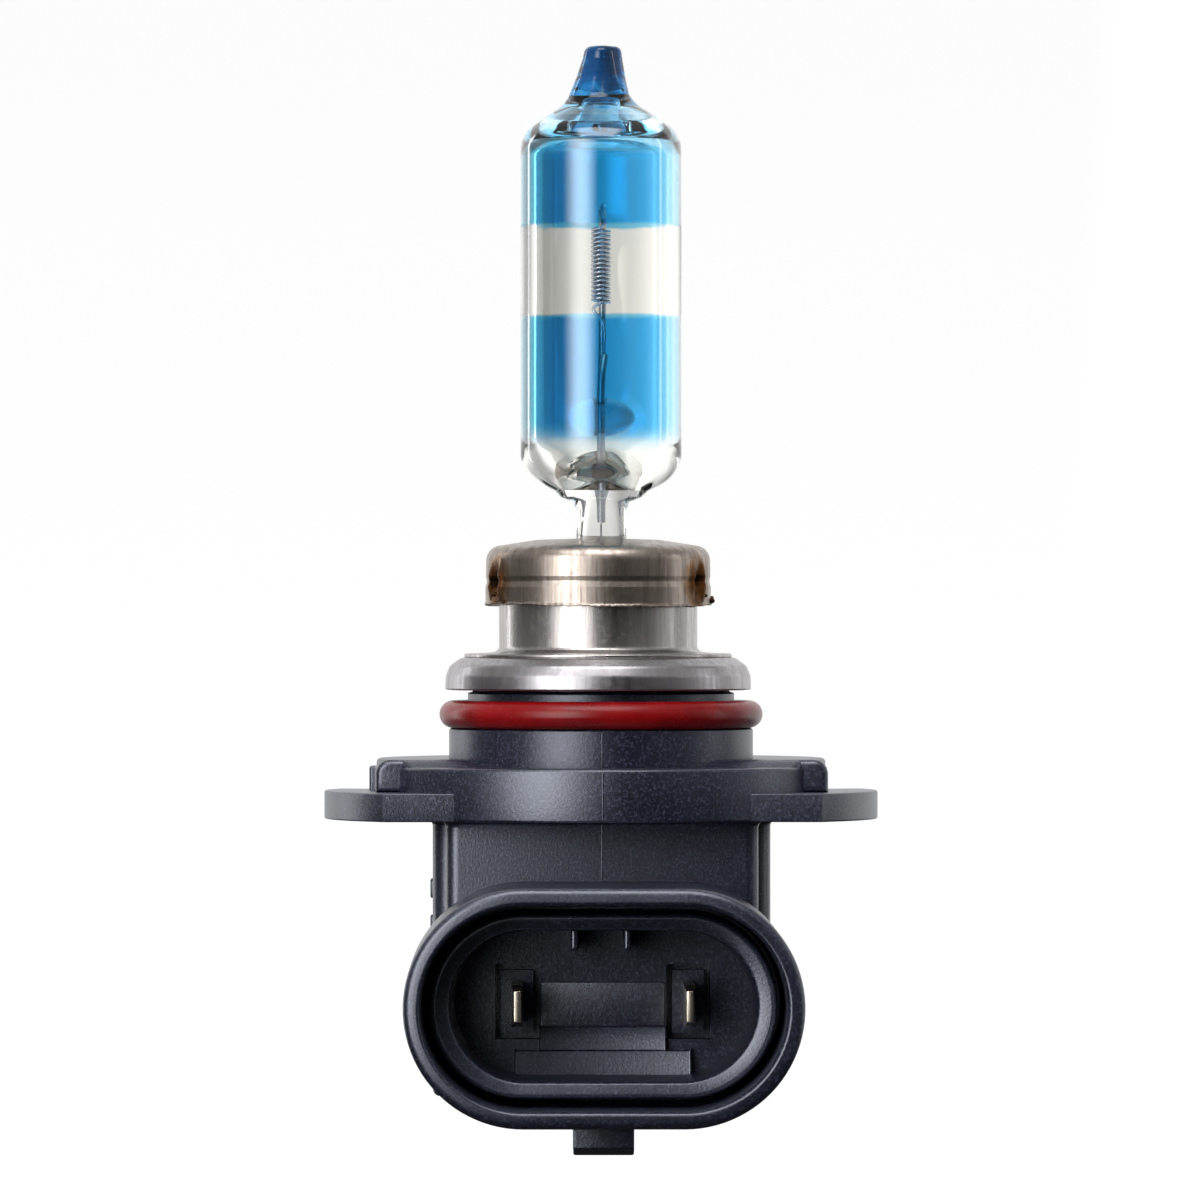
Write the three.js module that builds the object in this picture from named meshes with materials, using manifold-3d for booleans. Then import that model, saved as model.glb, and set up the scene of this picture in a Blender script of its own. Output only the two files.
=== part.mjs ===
// A right-angle halogen headlight bulb: a quartz capsule with an axial filament, held by a metal cup and
// sleeve on a moulded base with a bayonet flange, an O-ring and a two-blade plug socket.
//
// Millimetres, +Z up along the lamp's axis towards the glass tip. The socket opens towards -Y.
// The origin is on the axis, in the plane of the lugs' upper faces, which seat in the lamp holder.

import * as THREE from "three";
import { mergeVertices } from "three/addons/utils/BufferGeometryUtils.js";
import Module from "manifold-3d";

const wasm = await Module();
wasm.setup();

const TAU = 2 * Math.PI;
const DEGREE = Math.PI / 180;
const PLAY = 0.25; // gap left between two pieces that touch on the real lamp

// ---------------------------------------------------------------- driving dimensions

const glass = {
  radius: 5.45,
  bore: 4.3,
  bowlTop: 23.3,
  bowlBottom: 20.1,
  boreBottom: 22.3,
  tubeTop: 44.4,
  tipTop: 51.7,
};
const pinch = { thickness: 3.6, width: 8.6, bottom: 9.6, top: 21.2 };
const filament = {
  coilRadius: 0.52,
  wireRadius: 0.1,
  turns: 17,
  bottom: 33.85,
  top: 38.95,
};
const lead = { offset: 2.1, radius: 0.27, foot: 18.45 };
const foil = { thickness: 0.1, width: 2.0, bottom: 11.9, top: 18.2 };
const outerLead = { radius: 0.25, top: 11.6 };
const bridge = { halfWidth: 2.35, halfHeight: 1.43, halfLength: 3.2, height: 25.8 };

const cup = { radius: 7.8, sheet: 0.4, top: 17.65, bottom: 12.8, shoulder: 1.1, dome: 0.55 };
const clip = { sheet: 0.3, bottom: 10.4, plate: 16.45, radius: 6.9 };
const sleeve = { radius: 6.88, sheet: 0.4, lip: 7.25, top: 15.6, foot: 9.15, footRadius: 9.3 };
const bevel = { radius: 10.5, sheet: 0.4, top: 9.05, bottom: 6.95, hole: 6.2 };
const tongue = { count: 3, radius: 7.4, width: 3.0, bottom: 5.4 };

const ring = { cord: 0.92, radius: 10.3, height: 5.28 };
const neck = { radius: 9.25, bossRadius: 8.9, bossTop: 8.5, shoulder: 4.3 };
const hub = { radius: 10.55, bore: 5.7, diaphragmTop: 4.4, diaphragmBottom: 1.6 };
const grommet = { radius: 1.4, lip: 1.8, lipHeight: 0.6 };

const flange = { radius: 15.7, top: 1.7, raised: 2.24, bottom: -1.95, rampStart: -9, rampEnd: -6.8 };
const lug = { radius: 19.2, front: -12, rearAngle: 18 * DEGREE, backHalfAngle: 14 * DEGREE };
const stop = { thickness: 2.2, outside: 15.55, nose: -7.6, back: 6 };
const step = { outside: 16.1, front: 0.5, back: 4.5, top: 1.65 };

const body = { halfWidth: 11.64, front: -6, back: 10.6, corner: 1.3, bottom: -21 };
const face = { halfWidth: 10.7, front: -10, corner: 0.9 };
const chamber = { halfWidth: 8.3, front: -9.4, back: 8.2, top: 0.4, bottom: -19.2 };
const cover = { halfWidth: 7.6, top: -4.2, bottom: -18, sheet: 1.3, corner: 1.6, plug: 6.7, plugDepth: 1.6 };

const socket = {
  centre: -14.1,
  mouth: -26,
  groove: -14.5,
  wallFace: -21.4,
  floor: -13.8,
  upperFloor: -12.4,
  shell: { width: 26.9, height: 16.1 },
  shellBore: { width: 24.5, height: 13.7 },
  wall: { width: 23.2, height: 12.2 },
  well: { width: 20.2, height: 9.8 },
};
const key = { offset: 1.95, width: 0.7, height: 1.15, front: -20.6 };
const shelf = { halfWidth: 4.45, top: -12.6, bottom: -15.7 };
const latch = { halfWidth: 2.05, drop: 24.07, front: -23, back: -15, ramp: 1.2 };
const blade = {
  offset: 5.8,
  thickness: 0.8,
  height: 2.8,
  tip: -21.9,
  chamfer: 0.55,
  riserFront: -8.9,
  riserBack: -6.3,
  top: -4.2,
};
const pocket = { width: 3.0, height: 5.1, depth: 1.1, collarWidth: 2.1, collarHeight: 4.2 };
const slot = { width: 1.2, height: 3.2 };

// ---------------------------------------------------------------- solids from three.js geometry

/** The closed geometry as a solid that can be cut and joined. */
function solid(geometry) {
  const bare = geometry.index ? geometry.toNonIndexed() : geometry.clone();
  bare.deleteAttribute("normal");
  bare.deleteAttribute("uv");
  const merged = mergeVertices(bare, 1e-4);
  return new wasm.Manifold(
    new wasm.Mesh({
      numProp: 3,
      vertProperties: merged.attributes.position.array,
      triVerts: new Uint32Array(merged.index.array),
    }),
  );
}

/** A solid's surface as a geometry. */
function surface(body) {
  const mesh = body.getMesh();
  return new THREE.BufferGeometry()
    .setAttribute("position", new THREE.BufferAttribute(mesh.vertProperties, 3))
    .setIndex(new THREE.BufferAttribute(mesh.triVerts, 1))
    .toNonIndexed();
}

/** A profile of [radius, height] pairs turned about Z, anticlockwise round the solid. */
function turned(profile, segments = 40) {
  const points = profile.map(([r, z]) => new THREE.Vector2(r, z));
  const closed = profile[0][0] > 0;
  if (closed) points.push(points[0].clone());
  return new THREE.LatheGeometry(points, segments).rotateX(Math.PI / 2);
}

/** A shape in X and Y, raised from one height to another. */
function raised(shape, bottom, top, curveSegments) {
  const options = { depth: top - bottom, bevelEnabled: false, curveSegments };
  return new THREE.ExtrudeGeometry(shape, options).translate(0, 0, bottom);
}

/** A shape in X and Z, carried along Y from front to back. */
function carried(shape, front, back, curveSegments = 10) {
  const options = { depth: back - front, bevelEnabled: false, curveSegments };
  return new THREE.ExtrudeGeometry(shape, options).rotateX(Math.PI / 2).translate(0, back, 0);
}

/** A polygon of [y, z] pairs, carried along X from one side to the other. */
function across(pairs, left, right) {
  const shape = new THREE.Shape(pairs.map(([y, z]) => new THREE.Vector2(y, z)));
  const made = new THREE.ExtrudeGeometry(shape, { depth: right - left, bevelEnabled: false });
  return made.rotateX(Math.PI / 2).rotateZ(Math.PI / 2).translate(left, 0, 0);
}

/** A box between two corners. */
function block(x0, x1, y0, y1, z0, z1) {
  const made = new THREE.BoxGeometry(x1 - x0, y1 - y0, z1 - z0);
  return made.translate((x0 + x1) / 2, (y0 + y1) / 2, (z0 + z1) / 2);
}

/** A box that stands across the socket's axis: its middle in X and Z, its size in X and Z, its ends in Y. */
function socketBlock(x, z, width, height, front, back) {
  return solid(block(x - width / 2, x + width / 2, front, back, z - height / 2, z + height / 2));
}

/** A round bar along Z. */
function bar(radius, bottom, top, segments = 40) {
  const made = new THREE.CylinderGeometry(radius, radius, top - bottom, segments);
  return made.rotateX(Math.PI / 2).translate(0, 0, (bottom + top) / 2);
}

/** A rectangle with round corners, between two corners of its box. */
function roundedRectangle(x0, x1, y0, y1, corner) {
  const shape = new THREE.Shape();
  shape.absarc(x1 - corner, y1 - corner, corner, 0, TAU / 4);
  shape.absarc(x0 + corner, y1 - corner, corner, TAU / 4, TAU / 2);
  shape.absarc(x0 + corner, y0 + corner, corner, TAU / 2, (3 * TAU) / 4);
  shape.absarc(x1 - corner, y0 + corner, corner, (3 * TAU) / 4, TAU);
  shape.closePath();
  return shape;
}

/** A slot-shaped outline with half-round ends, centred on the socket. */
function stadium({ width, height }) {
  const { centre } = socket;
  return roundedRectangle(-width / 2, width / 2, centre - height / 2, centre + height / 2, height / 2 - 0.01);
}

/** A round wire along a curve. */
function wire(curve, radius, steps, sides = 8) {
  const section = Array.from({ length: sides }, (_, i) => {
    const angle = (i / sides) * TAU;
    return new THREE.Vector2(radius * Math.cos(angle), radius * Math.sin(angle));
  });
  return new THREE.ExtrudeGeometry(new THREE.Shape(section), { extrudePath: curve, steps });
}

/** A smooth curve through [x, y, z] points. */
function through(points) {
  const vectors = points.map(([x, y, z]) => new THREE.Vector3(x, y, z));
  return new THREE.CatmullRomCurve3(vectors, false, "centripetal");
}

/** The first solid with the others joined to it. */
const joined = (first, ...others) => others.reduce((all, next) => all.add(next), first);

/** The first solid with the others cut out of it. */
const cut = (first, ...others) => others.reduce((left, next) => left.subtract(next), first);

// ---------------------------------------------------------------- glass capsule

/** The quartz tube with its tip above and its flat pinch below, hollow, and open where the leads come out. */
function glassEnvelope() {
  const { radius, bore, bowlTop, bowlBottom, boreBottom, tubeTop, tipTop } = glass;
  const bowl = [0, 18, 36, 54, 72].map((degrees) => {
    const angle = degrees * DEGREE;
    return [radius * Math.sin(angle), bowlTop - (bowlTop - bowlBottom) * Math.cos(angle)];
  });
  const shoulder = [
    [radius, bowlTop],
    [radius, tubeTop],
    [5.2, 45.1],
    [4.5, 46.0],
    [3.2, 46.85],
    [2.15, 47.8],
  ];
  const tip = [
    [1.8, 48.7],
    [1.35, 51.2],
    [0.9, tipTop],
    [0, tipTop],
  ];
  const outside = solid(turned([...bowl, ...shoulder, ...tip], 40));
  const inside = solid(
    turned(
      [
        [0, boreBottom],
        [2.6, boreBottom + 0.15],
        [3.9, boreBottom + 0.8],
        [bore, boreBottom + 1.9],
        [bore, tubeTop - 0.6],
        [3.9, tubeTop + 0.5],
        [2.8, tubeTop + 1.1],
        [1.1, tubeTop + 1.5],
        [0, tubeTop + 2.2],
      ],
      40,
    ),
  );
  const { thickness, width, bottom, top } = pinch;
  const flat = roundedRectangle(-thickness / 2, thickness / 2, -width / 2, width / 2, 0.6);
  const seal = solid(raised(flat, bottom, top, 3));
  const ways = [-1, 1].flatMap((side) => {
    const y = side * lead.offset;
    const half = outerLead.radius + PLAY;
    const wide = lead.radius + PLAY;
    const deep = foil.width / 2 + PLAY;
    const thin = foil.thickness / 2 + PLAY;
    return [
      solid(block(-wide, wide, y - wide, y + wide, foil.top + PLAY, boreBottom + 1)),
      solid(block(-thin, thin, y - deep, y + deep, foil.bottom - PLAY, foil.top + 2 * PLAY)),
      solid(block(-half, half, y - half, y + half, bottom - 1, foil.bottom)),
    ];
  });
  return surface(cut(joined(cut(outside, inside), seal.subtract(inside)), ...ways));
}

/** The filament: a lower leg, a tight coil and an upper leg, as one wire. */
class FilamentCurve extends THREE.Curve {
  getPoint(t, target = new THREE.Vector3()) {
    const { coilRadius, turns, bottom, top } = filament;
    const legShare = 0.06;
    const share = THREE.MathUtils.clamp((t - legShare) / (1 - 2 * legShare), 0, 1);
    const angle = share * turns * TAU;
    const height = THREE.MathUtils.lerp(bottom, top, share);
    const onCoil = new THREE.Vector3(coilRadius * Math.sin(angle), -coilRadius * Math.cos(angle), height);
    if (t < legShare) {
      const start = new THREE.Vector3(0.05, -0.85, bottom - 3.6);
      return target.copy(start).lerp(onCoil, t / legShare);
    }
    if (t > 1 - legShare) {
      const end = new THREE.Vector3(0.1, 0.75, top + 1.75);
      return target.copy(onCoil).lerp(end, (t - 1 + legShare) / legShare);
    }
    return target.copy(onCoil);
  }
}

/** The wire from the foil to the filament's lower leg. */
function shortLead() {
  const y = -lead.offset;
  const points = [
    [0, y, lead.foot],
    [0, y, 24],
    [0, y, 27.6],
    [0, -1.75, 29.2],
    [0, -1.3, 30.4],
  ];
  return wire(through(points), lead.radius, 22);
}

/** The wire from the other foil, up behind the filament to its upper leg. */
function longLead() {
  const y = lead.offset;
  const points = [
    [0, y, lead.foot],
    [0, y, 24],
    [0, y, 27.6],
    [0.1, 2.75, 30],
    [0.15, 2.9, 34],
    [0.15, 2.85, 38.6],
    [0.12, 2.3, 40.1],
    [0.1, 1.2, 40.6],
  ];
  return wire(through(points), lead.radius, 36);
}

/** The quartz rod that holds both leads apart, with a hole for each. */
function quartzBridge() {
  const { halfWidth, halfHeight, halfLength, height } = bridge;
  const rod = new THREE.SphereGeometry(1, 20, 12).scale(halfWidth, halfLength * 1.12, halfHeight);
  const slab = block(-halfWidth, halfWidth, -halfLength, halfLength, -halfHeight, halfHeight);
  const bead = solid(rod.translate(0, 0, height)).intersect(solid(slab.translate(0, 0, height)));
  const holes = [-1, 1].map((side) => {
    const hole = bar(lead.radius + PLAY, height - 2, height + 2, 10);
    return solid(hole.translate(0, side * lead.offset, 0));
  });
  return surface(cut(bead, ...holes));
}

/** A molybdenum strip that carries the current through the pinch. */
function sealFoil(side) {
  const y = side * lead.offset;
  const half = foil.thickness / 2;
  return block(-half, half, y - foil.width / 2, y + foil.width / 2, foil.bottom, foil.top);
}

/** The wire from a foil down to the riser of a terminal. side is -1 in front and 1 behind. */
function leadOut(side) {
  const y = side * lead.offset;
  const x = side * (blade.offset - blade.thickness / 2 - outerLead.radius - PLAY);
  const along = (blade.riserFront + blade.riserBack) / 2;
  const points = [
    [0, y, outerLead.top],
    [0, y, 5],
    [0, y, 2.5],
    [0, y, 0.6],
    [x * 0.45, y * 0.4 - 1.6, -1.6],
    [x * 0.92, along + 0.6, -3.4],
    [x, along, -5.4],
    [x, along, -9],
  ];
  return wire(through(points), outerLead.radius, 30);
}

// ---------------------------------------------------------------- metal holder

/** The domed cup over the pinch, with a slot that the pinch stands in. */
function holderCup() {
  const { radius, sheet, top, bottom, shoulder, dome } = cup;
  const arc = (outer, corner, height) =>
    [0, 30, 60, 90].map((degrees) => {
      const angle = degrees * DEGREE;
      return [outer - corner + corner * Math.cos(angle), height - corner + corner * Math.sin(angle)];
    });
  const outer = arc(radius, shoulder, top - dome);
  const inner = arc(radius - sheet, shoulder - sheet, top - dome - sheet).reverse();
  const shell = turned([
    [radius - sheet, bottom],
    [radius + 0.06, bottom],
    [radius + 0.06, bottom + 1.5],
    [radius, bottom + 1.8],
    ...outer,
    [0.5, top],
    [0.5, top - sheet],
    ...inner,
  ]);
  const gap = PLAY + 0.1;
  const x = pinch.thickness / 2 + gap;
  const y = pinch.width / 2 + gap;
  return surface(solid(shell).subtract(solid(block(-x, x, -y, y, bottom, top + 1))));
}

/** The sheet clip inside the cup: a collar that grips the pinch, on a plate under the cup's top. */
function pinchClip() {
  const { sheet, bottom, plate, radius } = clip;
  const inX = pinch.thickness / 2 + PLAY;
  const inY = pinch.width / 2 + PLAY;
  const collar = solid(block(-inX - sheet, inX + sheet, -inY - sheet, inY + sheet, bottom, plate));
  const disc = solid(bar(radius, plate - sheet, plate, 36));
  const windows = solid(block(-20, 20, -2.6, 2.6, bottom + 2.6, plate - 2 * sheet));
  const hole = solid(block(-inX, inX, -inY, inY, bottom - 1, plate + 1));
  return surface(cut(joined(collar, disc), windows, hole));
}

/** The drawn sleeve that carries the cup, with a flared lip inside it and a flat foot. */
function focusSleeve() {
  const { radius, sheet, lip, top, foot, footRadius } = sleeve;
  const inside = radius - sheet;
  return turned([
    [inside, foot],
    [footRadius, foot],
    [footRadius, foot + 0.35],
    [radius + 0.5, foot + 0.35],
    [radius + 0.12, foot + 0.5],
    [radius, foot + 0.9],
    [radius, cup.bottom + 0.5],
    [lip, cup.bottom + 1.1],
    [lip, top],
    [lip - sheet, top],
    [lip - sheet, cup.bottom + 1.3],
    [inside, cup.bottom + 0.7],
  ]);
}

/** The bevelled flange that leads the lamp into its hole, with tongues that hold it to the base. */
function locatingFlange() {
  const { radius, sheet, top, bottom, hole } = bevel;
  const dish = turned([
    [hole, top - sheet],
    [9.3, top - sheet],
    [9.85, top - 0.75],
    [10.15, top - 1.3],
    [radius - sheet, bottom],
    [radius + 0.12, bottom],
    [radius + 0.02, bottom + 0.6],
    [10.5, top - 0.9],
    [10.15, top - 0.35],
    [9.6, top],
    [hole, top],
  ]);
  const tongues = Array.from({ length: tongue.count }, (_, i) => {
    const half = tongue.width / 2;
    const strip = block(tongue.radius - sheet, tongue.radius, -half, half, tongue.bottom, top - sheet / 2);
    return solid(strip.rotateZ((i / tongue.count) * TAU + TAU / 4));
  });
  return surface(joined(solid(dish), ...tongues));
}

// ---------------------------------------------------------------- moulded base

/** The hub: the boss inside the bevelled flange, the O-ring's groove and the shoulder below it. */
function hubSolid() {
  return solid(
    turned([
      [0, flange.bottom],
      [hub.radius, flange.bottom],
      [hub.radius, neck.shoulder],
      [neck.radius, neck.shoulder],
      [neck.radius, bevel.bottom - PLAY],
      [neck.bossRadius, bevel.bottom + 0.2],
      [neck.bossRadius, neck.bossTop - 0.6],
      [neck.bossRadius - 0.5, neck.bossTop],
      [0, neck.bossTop],
    ]),
  );
}

/** The outline of one side lug, with a straight front and a round outside. */
function sideLug() {
  const start = Math.asin(lug.front / lug.radius);
  const shape = new THREE.Shape();
  shape.moveTo(8, lug.front);
  shape.lineTo(lug.radius * Math.cos(start), lug.front);
  shape.absarc(0, 0, lug.radius, start, lug.rearAngle);
  shape.lineTo(13 * Math.cos(lug.rearAngle), 13 * Math.sin(lug.rearAngle));
  shape.closePath();
  return shape;
}

/** The outline of the lug at the back. */
function backLug() {
  const half = lug.radius * Math.sin(lug.backHalfAngle);
  const shape = new THREE.Shape();
  shape.moveTo(-half, 12);
  shape.lineTo(half, 12);
  shape.lineTo(half, lug.radius * Math.cos(lug.backHalfAngle));
  shape.absarc(0, 0, lug.radius, TAU / 4 - lug.backHalfAngle, TAU / 4 + lug.backHalfAngle);
  shape.closePath();
  return shape;
}

/** The flange with its ramped upper face, its three lugs and its two stops. */
function flangeSolid() {
  const { radius, top, raised: high, bottom, rampStart, rampEnd } = flange;
  const disc = solid(bar(radius, bottom, top, 56));
  const upper = solid(bar(radius - 0.15, top - 0.5, high, 56)).intersect(
    solid(
      across(
        [
          [rampStart, top],
          [rampStart, top - 1],
          [20, top - 1],
          [20, high],
          [rampEnd, high],
        ],
        -20,
        20,
      ),
    ),
  );
  const right = solid(raised(sideLug(), bottom, 0, 16));
  const left = right.mirror([1, 0, 0]);
  const back = solid(raised(backLug(), bottom, 0, 16));
  const stops = [-1, 1].map((side) => {
    const round = stop.thickness / 2 - 0.01;
    const near = stop.outside - stop.thickness;
    const outline = roundedRectangle(near, stop.outside, stop.nose, stop.back, round);
    const wall = solid(raised(outline, bottom + 0.5, high, 6));
    return side > 0 ? wall : wall.mirror([1, 0, 0]);
  });
  const outerStep = solid(block(-step.outside, -14, step.front, step.back, bottom + 0.5, step.top));
  return joined(disc, upper, right, left, back, ...stops, outerStep);
}

/** The body under the flange, with a narrower box in front that the socket grows from. */
function bodySolid() {
  const { halfWidth, front, back, corner, bottom } = body;
  const outline = roundedRectangle(-halfWidth, halfWidth, front, back, corner);
  const rear = raised(outline, bottom, flange.bottom + 1, 6);
  const box = roundedRectangle(-face.halfWidth, face.halfWidth, face.front, 0, face.corner);
  return joined(solid(rear), solid(raised(box, bottom, flange.bottom + 1, 6)));
}

/** Everything that is added in the socket: its shell and the latch nose under it. */
function socketOutside() {
  const shell = solid(carried(stadium(socket.shell), socket.mouth, face.front + 1));
  const { halfWidth, drop, front, back, ramp } = latch;
  const nose = across(
    [
      [front, -drop + 0.5],
      [front + ramp, -drop],
      [back, -drop],
      [back, -20],
      [front, -20],
    ],
    -halfWidth,
    halfWidth,
  );
  return shell.add(solid(nose));
}

/** Everything that is cut out of the socket, with its keys, collars and shelf left standing. */
function socketInside() {
  const { mouth, groove, wallFace, floor, upperFloor, centre } = socket;
  const outerBore = solid(carried(stadium(socket.shellBore), mouth - 1, groove));
  const wall = solid(carried(stadium(socket.wall), wallFace, groove + 1));
  const well = solid(carried(stadium(socket.well), wallFace - 1, floor));
  const upper = solid(carried(stadium(socket.well), floor - 1, upperFloor)).intersect(
    solid(block(-20, 20, -20, 0, shelf.top, 0)),
  );
  const keyTop = centre + socket.well.height / 2 + 0.3;
  const keyMiddle = keyTop - (key.height + 0.3) / 2;
  const keys = [-1, 1].map((side) =>
    socketBlock(side * key.offset, keyMiddle, key.width, key.height + 0.3, key.front, upperFloor),
  );
  const rims = [-1, 1].map((side) =>
    socketBlock(side * blade.offset, centre, pocket.width, pocket.height, floor - 0.5, floor + pocket.depth),
  );
  const collars = [-1, 1].map((side) =>
    socketBlock(side * blade.offset, centre, pocket.collarWidth, pocket.collarHeight, floor - 0.4, floor + 2),
  );
  const hollow = joined(outerBore.subtract(wall), well, upper, ...rims);
  return cut(hollow, ...keys, ...collars);
}

/** The slots in the socket's floor that the blades come through. */
function bladeSlots() {
  const { centre, floor } = socket;
  return [-1, 1].map((side) =>
    socketBlock(side * blade.offset, centre, slot.width, slot.height, floor - 1, chamber.front + 1),
  );
}

/** The hollow inside: the bore from above, two holes for the grommets, the chamber and its window behind. */
function baseHollows() {
  const upperBore = solid(bar(hub.bore, hub.diaphragmTop, neck.bossTop + 1, 36));
  const lowerBore = solid(bar(hub.bore, chamber.bottom + 8, hub.diaphragmBottom, 36));
  const { halfWidth, front, back, top, bottom } = chamber;
  const room = solid(block(-halfWidth, halfWidth, front, back, bottom, flange.bottom - 1.2));
  const neckDown = solid(block(-5.7, 5.7, front + 1.2, 5, flange.bottom - 2, top));
  const holes = [-1, 1].map((side) => {
    const hole = bar(grommet.radius + PLAY, hub.diaphragmBottom - 1, hub.diaphragmTop + 1, 20);
    return solid(hole.translate(0, side * lead.offset, 0));
  });
  const window = carried(
    roundedRectangle(
      -cover.plug - PLAY,
      cover.plug + PLAY,
      cover.bottom + 0.9 - PLAY,
      cover.top - 0.9 + PLAY,
      0.8,
    ),
    back - 1,
    body.back + 1,
    4,
  );
  const recess = carried(
    roundedRectangle(
      -cover.halfWidth - PLAY,
      cover.halfWidth + PLAY,
      cover.bottom - PLAY,
      cover.top + PLAY,
      cover.corner,
    ),
    body.back - cover.sheet,
    body.back + 1,
    4,
  );
  const tongueSlots = Array.from({ length: tongue.count }, (_, i) => {
    const half = tongue.width / 2 + 0.2;
    const inside = tongue.radius - bevel.sheet - 0.2;
    const way = block(inside, tongue.radius + 0.2, -half, half, tongue.bottom - 0.3, neck.bossTop + 1);
    return solid(way.rotateZ((i / tongue.count) * TAU + TAU / 4));
  });
  return [upperBore, lowerBore, room, neckDown, ...holes, solid(window), solid(recess), ...tongueSlots];
}

/** The whole moulding as one piece. */
function baseMoulding() {
  const outside = joined(hubSolid(), flangeSolid(), bodySolid(), socketOutside());
  return surface(cut(outside, socketInside(), ...bladeSlots(), ...baseHollows()));
}

/** The lid welded into the window behind the chamber. */
function rearCover() {
  const { halfWidth, top, bottom, sheet, corner, plug, plugDepth } = cover;
  const plate = carried(
    roundedRectangle(-halfWidth, halfWidth, bottom, top, corner),
    body.back - sheet + PLAY,
    body.back - 0.1,
    4,
  );
  const inner = carried(
    roundedRectangle(-plug, plug, bottom + 0.9, top - 0.9, 0.7),
    body.back - sheet - plugDepth,
    body.back - sheet + 1,
    4,
  );
  return surface(solid(plate).add(solid(inner)));
}

/** The O-ring in the hub's groove. */
function sealRing() {
  return new THREE.TorusGeometry(ring.radius, ring.cord, 8, 40).translate(0, 0, ring.height);
}

/** A silicone grommet round an outer lead, with a lip above the diaphragm. */
function leadGrommet(side) {
  const { radius, lip, lipHeight } = grommet;
  const hole = outerLead.radius + PLAY;
  const { diaphragmTop, diaphragmBottom } = hub;
  const made = turned(
    [
      [hole, diaphragmBottom],
      [radius, diaphragmBottom],
      [radius, diaphragmTop + PLAY],
      [lip, diaphragmTop + PLAY],
      [lip, diaphragmTop + lipHeight],
      [hole, diaphragmTop + lipHeight],
    ],
    20,
  );
  return made.translate(0, side * lead.offset, 0);
}

/** A tinned terminal: a blade in the socket and a riser in the chamber, cut from one strip. */
function terminal(side) {
  const { offset, thickness, height, tip, chamfer, riserFront, riserBack, top } = blade;
  const low = socket.centre - height / 2;
  const high = socket.centre + height / 2;
  return across(
    [
      [tip, low + chamfer],
      [tip, high - chamfer],
      [tip + 1.4, high],
      [riserFront, high],
      [riserFront, top],
      [riserBack, top],
      [riserBack, low],
      [tip + 1.4, low],
    ],
    side * offset - thickness / 2,
    side * offset + thickness / 2,
  );
}

// ---------------------------------------------------------------- assembly

const finishes = {
  quartz: { color: 0xcfe3f4, roughness: 0.05, metalness: 0 },
  tungsten: { color: 0x5c5c62, roughness: 0.45, metalness: 1 },
  molybdenum: { color: 0xa9adb2, roughness: 0.35, metalness: 1 },
  nickel: { color: 0xb9b4ac, roughness: 0.3, metalness: 1 },
  tin: { color: 0xcfc9bb, roughness: 0.3, metalness: 1 },
  plastic: { color: 0x2b2c35, roughness: 0.55, metalness: 0 },
  redSilicone: { color: 0x9c1414, roughness: 0.4, metalness: 0 },
  greySilicone: { color: 0x6d7076, roughness: 0.6, metalness: 0 },
};

const lamp = new THREE.Group();

/** Adds one named piece to the lamp. */
function add(name, finish, geometry) {
  const mesh = new THREE.Mesh(geometry, new THREE.MeshStandardMaterial(finishes[finish]));
  mesh.name = name;
  lamp.add(mesh);
}

add("glass_envelope", "quartz", glassEnvelope());
add("filament", "tungsten", wire(new FilamentCurve(), filament.wireRadius, 200, 5));
add("lead_short", "molybdenum", shortLead());
add("lead_long", "molybdenum", longLead());
add("quartz_bridge", "quartz", quartzBridge());
add("holder_cup", "nickel", holderCup());
add("pinch_clip", "nickel", pinchClip());
add("focus_sleeve", "nickel", focusSleeve());
add("locating_flange", "nickel", locatingFlange());
add("base_moulding", "plastic", baseMoulding());
add("rear_cover", "plastic", rearCover());
add("o_ring", "redSilicone", sealRing());
for (const [side, place, hand] of [
  [-1, "front", "left"],
  [1, "rear", "right"],
]) {
  add(`seal_foil_${place}`, "molybdenum", sealFoil(side));
  add(`outer_lead_${place}`, "molybdenum", leadOut(side));
  add(`lead_grommet_${place}`, "greySilicone", leadGrommet(side));
  add(`terminal_${hand}`, "tin", terminal(side));
}

export default lamp;
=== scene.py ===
"""A halogen headlight bulb with a right-angle plug socket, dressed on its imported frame.

Sizes in the classes are millimetres unless a name says otherwise; meshes are written in metres. +Z runs up
the lamp's axis to the glass tip, the socket opens towards -Y, and the origin is in the lugs' seating plane.
"""

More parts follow.
